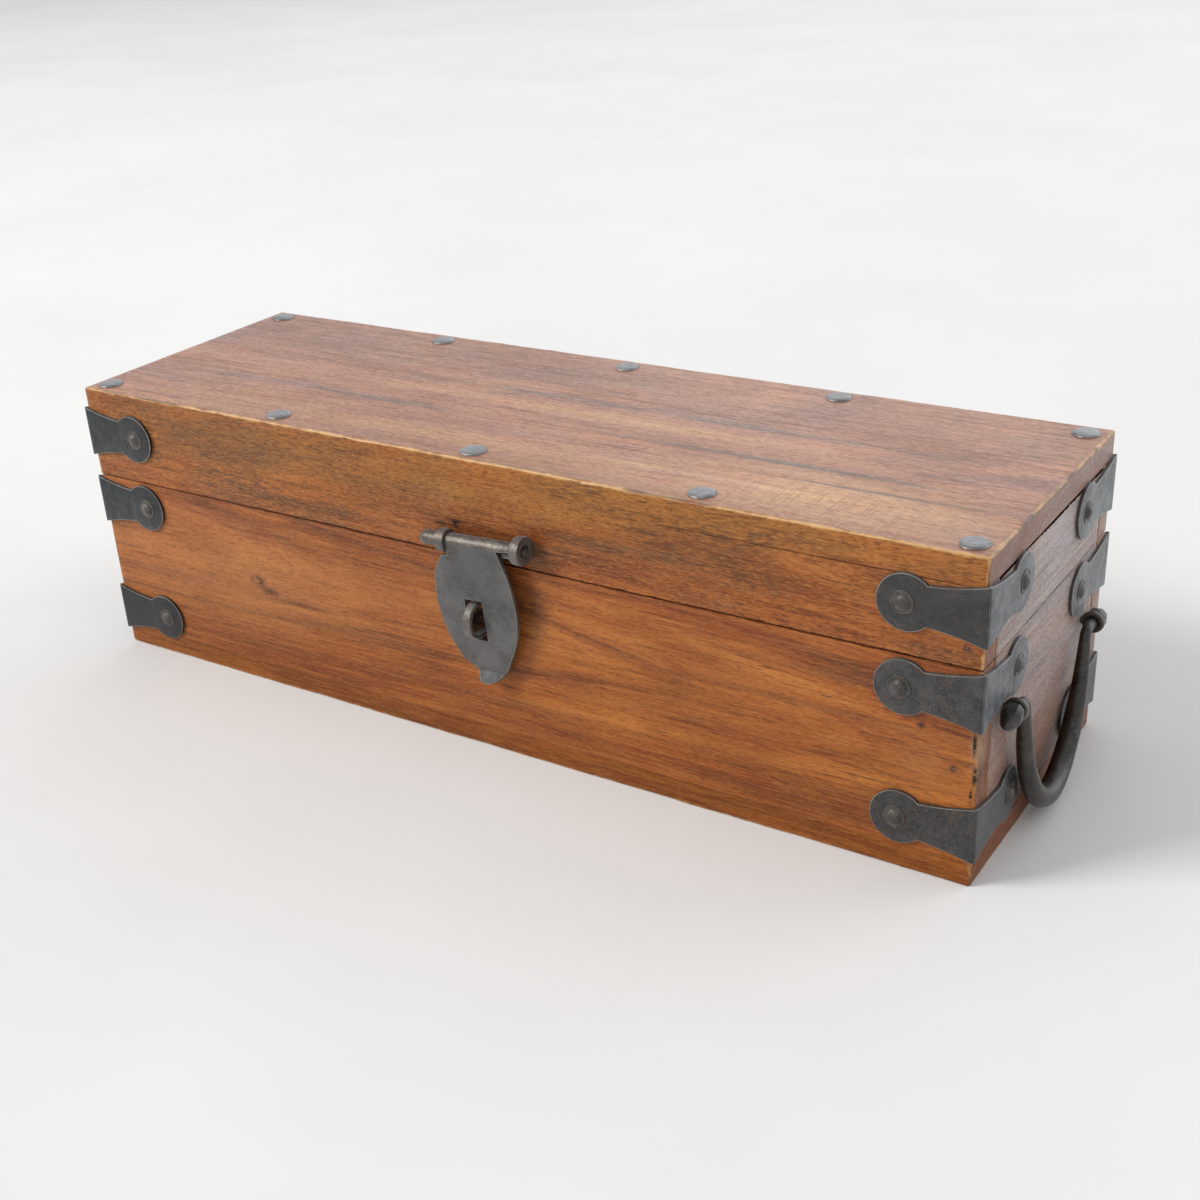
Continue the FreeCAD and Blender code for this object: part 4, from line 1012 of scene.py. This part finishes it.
def bail_lots(droop):
    """The bar, which hangs in a pointed half ellipse, and its two knobs.  droop is how far
    the knob at -X was bent down in use."""
    drop = bail["depth"] - bail["bend"]
    power = 2 / bail["shape"]

    def on_curve(angle):
        c, s = math.cos(angle), math.sin(angle)
        return (-bail["half_span"] * math.copysign(abs(c) ** power, c), 0,
                -bail["bend"] - drop * abs(s) ** power)

    eye_at = bail["eyes"] / 2
    knob_start = eye_at + bail["wire"] + bail["play"]
    half = [((-knob_start - 0.5, 0, 0), bail["journal"]), ((-eye_at, 0, 0), bail["journal"])]
    for k in range(7):
        angle = math.pi / 2 * k / 7
        half.append(((-bail["half_span"] - bail["bend"] * (1 - math.sin(angle)), 0,
                      -bail["bend"] * (1 - math.cos(angle))), bail["journal"]))
    spans = 44
    for k in range(spans // 2 + 1):
        angle = math.pi * k / spans
        swell = math.sin(angle) ** 0.8
        half.append((on_curve(angle),
                     bail["journal"] + (bail["grip"] - bail["journal"]) * swell))
    whole = half + [((-p[0], 0, p[2]), r) for p, r in half[-2::-1]]
    filed = 0.985
    lots = [rod([p for p, r in whole], [r * filed for p, r in whole], 28, 0.0, 1.9, 0.022)]
    face = math.sqrt(bail["knob_corner"] ** 2 - (bail["knob"] / 2) ** 2)
    for way in (-1, 1):
        bent = math.radians(droop) if way < 0 else 0.0
        start = knob_start + (bail["elbow"] if bent else 0.0)
        stations = ((0.0, 0.86), (0.4, 0.98), (bail["collar"] * 0.5, 1.0),
                    (bail["collar"], 0.97), (bail["collar"] + 0.5, 0.92),
                    (bail["collar"] + bail["point"] * 0.55, 0.66),
                    (bail["collar"] + bail["point"] * 0.90, 0.36),
                    (bail["collar"] + bail["point"], 0.20))
        points = []
        for x, share in stations:
            h, k = bail["knob"] / 2 * share, face * share
            soft = 0.35 * share
            for y, z in ((h, -k), (h, k), (k + soft, h - soft), (k, h), (-k, h), (-h, k),
                         (-h, -k), (-k, -h), (k, -h)):
                points.append((way * (start + x * math.cos(bent) - z * math.sin(bent)), y,
                               z * math.cos(bent) - x * math.sin(bent)))
        lots.append((points, tube(len(stations), len(points) // len(stations)), 1))
    tilt = Matrix.Rotation(math.radians(-bail["tilt"]), 4, "X")
    return [moved(lot, lambda x, y, z: tuple(tilt @ Vector((x, y, z))
                                             - Vector((0, bail["standoff"], 0))))
            for lot in lots]


for side, lean, droop in (("right", -2.8, 16.0), ("left", 0.0, 0.0)):
    hang = on_wall(side, 0, bail["height"], lean)
    assemble(side + "_bail_handle", [moved(lot, hang) for lot in bail_lots(droop)],
             [bail_iron, knob_iron], side + "_handle", "forged_iron", side + "_bail", crease=28)
    lots = []
    for way in (-1, 1):
        for lot in clenched_eye(bail["journal"] + bail["slack"], bail["wire"], bail["standoff"],
                                bail["shank"], 9.0, 1.8, 5.0 + way):
            lots.append(moved(lot, lambda x, y, z, s=way * bail["eyes"] / 2:
                              hang(x + s, y, z)))
    assemble(side + "_bail_eye_pair", lots, [eye_iron], "chest", "forged_iron",
             side + "_bail_eyes", crease=50)


# ---- Hinges -----------------------------------------------------------------------------
# Two strap hinges on the back, cut and rolled from the straps' sheet iron, each leaf held
# by two small nails, and a headed pin through its three knuckles.

for skin, names in ((strap_iron, ("hinge_chest_leaves", "hinge_lid_leaves")),
                    (nail_iron, ("hinge_pins", "hinge_chest_nails", "hinge_lid_nails"))):
    for name in names:
        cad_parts[name].data.materials.clear()
        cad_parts[name].data.materials.append(skin)


# ---- Floor, light and camera ------------------------------------------------------------
# A wide pale floor, a shade darker under the lamps so that it never clips, an even pale
# surround, one large soft lamp from the front left, and two weaker ones behind and right.

floor_skin, tree, shader = new_skin("pale_floor")
place = add_node(tree, "ShaderNodeTexCoord").outputs["Object"]
cloud = grain(tree, place, (3.0, 3.0, 3.0), 4.0, 0.6)
pale = blend(tree, levels(tree, cloud, 0.3, 0.7), tone(0.780, 0.775, 0.765),
             tone(0.815, 0.812, 0.805))
for under_lamp, near, far, darker in (((-3.2, -3.0, 0), 1.6, 4.3, 0.47),
                                      ((2.2, 2.25, 0), 0.3, 2.2, 0.35)):
    away = place_sums(tree, "DISTANCE", place, under_lamp)
    pale = blend(tree, levels(tree, away, near, far, darker, 0.0), pale, tone(0, 0, 0))
tree.links.new(pale, shader.inputs["Base Color"])
shader.inputs["Roughness"].default_value = 0.9
shader.inputs["Specular IOR Level"].default_value = 0.2
mesh = bpy.data.meshes.new("floor")
wide = 9.0
mesh.from_pydata([(-wide, -wide, 0), (wide, -wide, 0), (wide, wide, 0), (-wide, wide, 0)], [],
                 [(0, 1, 2, 3)])
mesh.materials.append(floor_skin)
floor = bpy.data.objects.new("floor", mesh)
bpy.context.scene.collection.objects.link(floor)

world = bpy.data.worlds.new("pale_surround")
bpy.context.scene.world = world
world.use_nodes = True
tree = world.node_tree
lighting = tree.nodes["Background"]
lighting.inputs["Color"].default_value = (0.98, 0.99, 1.0, 1.0)
lighting.inputs["Strength"].default_value = 0.62
seen = add_node(tree, "ShaderNodeBackground", {"Color": (0.90, 0.95, 1.0, 1.0),
                                               "Strength": 0.95})
rays = add_node(tree, "ShaderNodeLightPath").outputs
looked_at = sums(tree, "MAXIMUM", rays["Is Camera Ray"],
                 sums(tree, "MAXIMUM", rays["Is Glossy Ray"], rays["Is Transmission Ray"]))
both = add_node(tree, "ShaderNodeMixShader", {0: looked_at, 1: lighting.outputs[0],
                                              2: seen.outputs[0]})
tree.links.new(both.outputs[0], tree.nodes["World Output"].inputs["Surface"])


def lamp(name, place, aim, size, power, colour):
    """A soft square lamp of so many metres and watts."""
    data = bpy.data.lights.new(name, "AREA")
    data.shape = "SQUARE"
    data.size = size
    data.energy = power
    data.color = colour
    item = bpy.data.objects.new(name, data)
    item.location = place
    item.visible_camera = False
    item.rotation_euler = (Vector(aim) - Vector(place)).to_track_quat("-Z", "Y").to_euler()
    bpy.context.scene.collection.objects.link(item)


lamp("window_left", (-3.2, -3.0, 3.32), (0, 0, 0.08), 1.8, 200.0, (1.0, 0.985, 0.96))
lamp("sky_behind", (-0.6, 3.45, 2.35), (0, 0, 0.1), 3.3, 24.7, (0.95, 0.975, 1.0))
lamp("sky_right", (2.2, 2.25, 1.16), (0.1, 0, 0.08), 2.4, 29.2, (0.90, 0.95, 1.0))

camera = bpy.data.cameras.new("camera")
camera.sensor_width = 36.0
camera.lens = 49.115
camera.shift_x = 0.0168
camera.shift_y = 0.0300
camera.clip_start = 0.01
viewer = bpy.data.objects.new("camera", camera)
right = Vector((0.836892, 0.544672, -0.054265))
down = Vector((0.205726, -0.404862, -0.890934))
ahead = Vector((-0.507236, 0.734452, -0.450879))
turn = Matrix((right, -down, -ahead)).transposed()
viewer.matrix_world = Matrix.Translation((0.439373, -0.626773, 0.411470)) @ turn.to_4x4()
bpy.context.scene.collection.objects.link(viewer)
bpy.context.scene.camera = viewer
bpy.context.scene.view_settings.view_transform = "Standard"
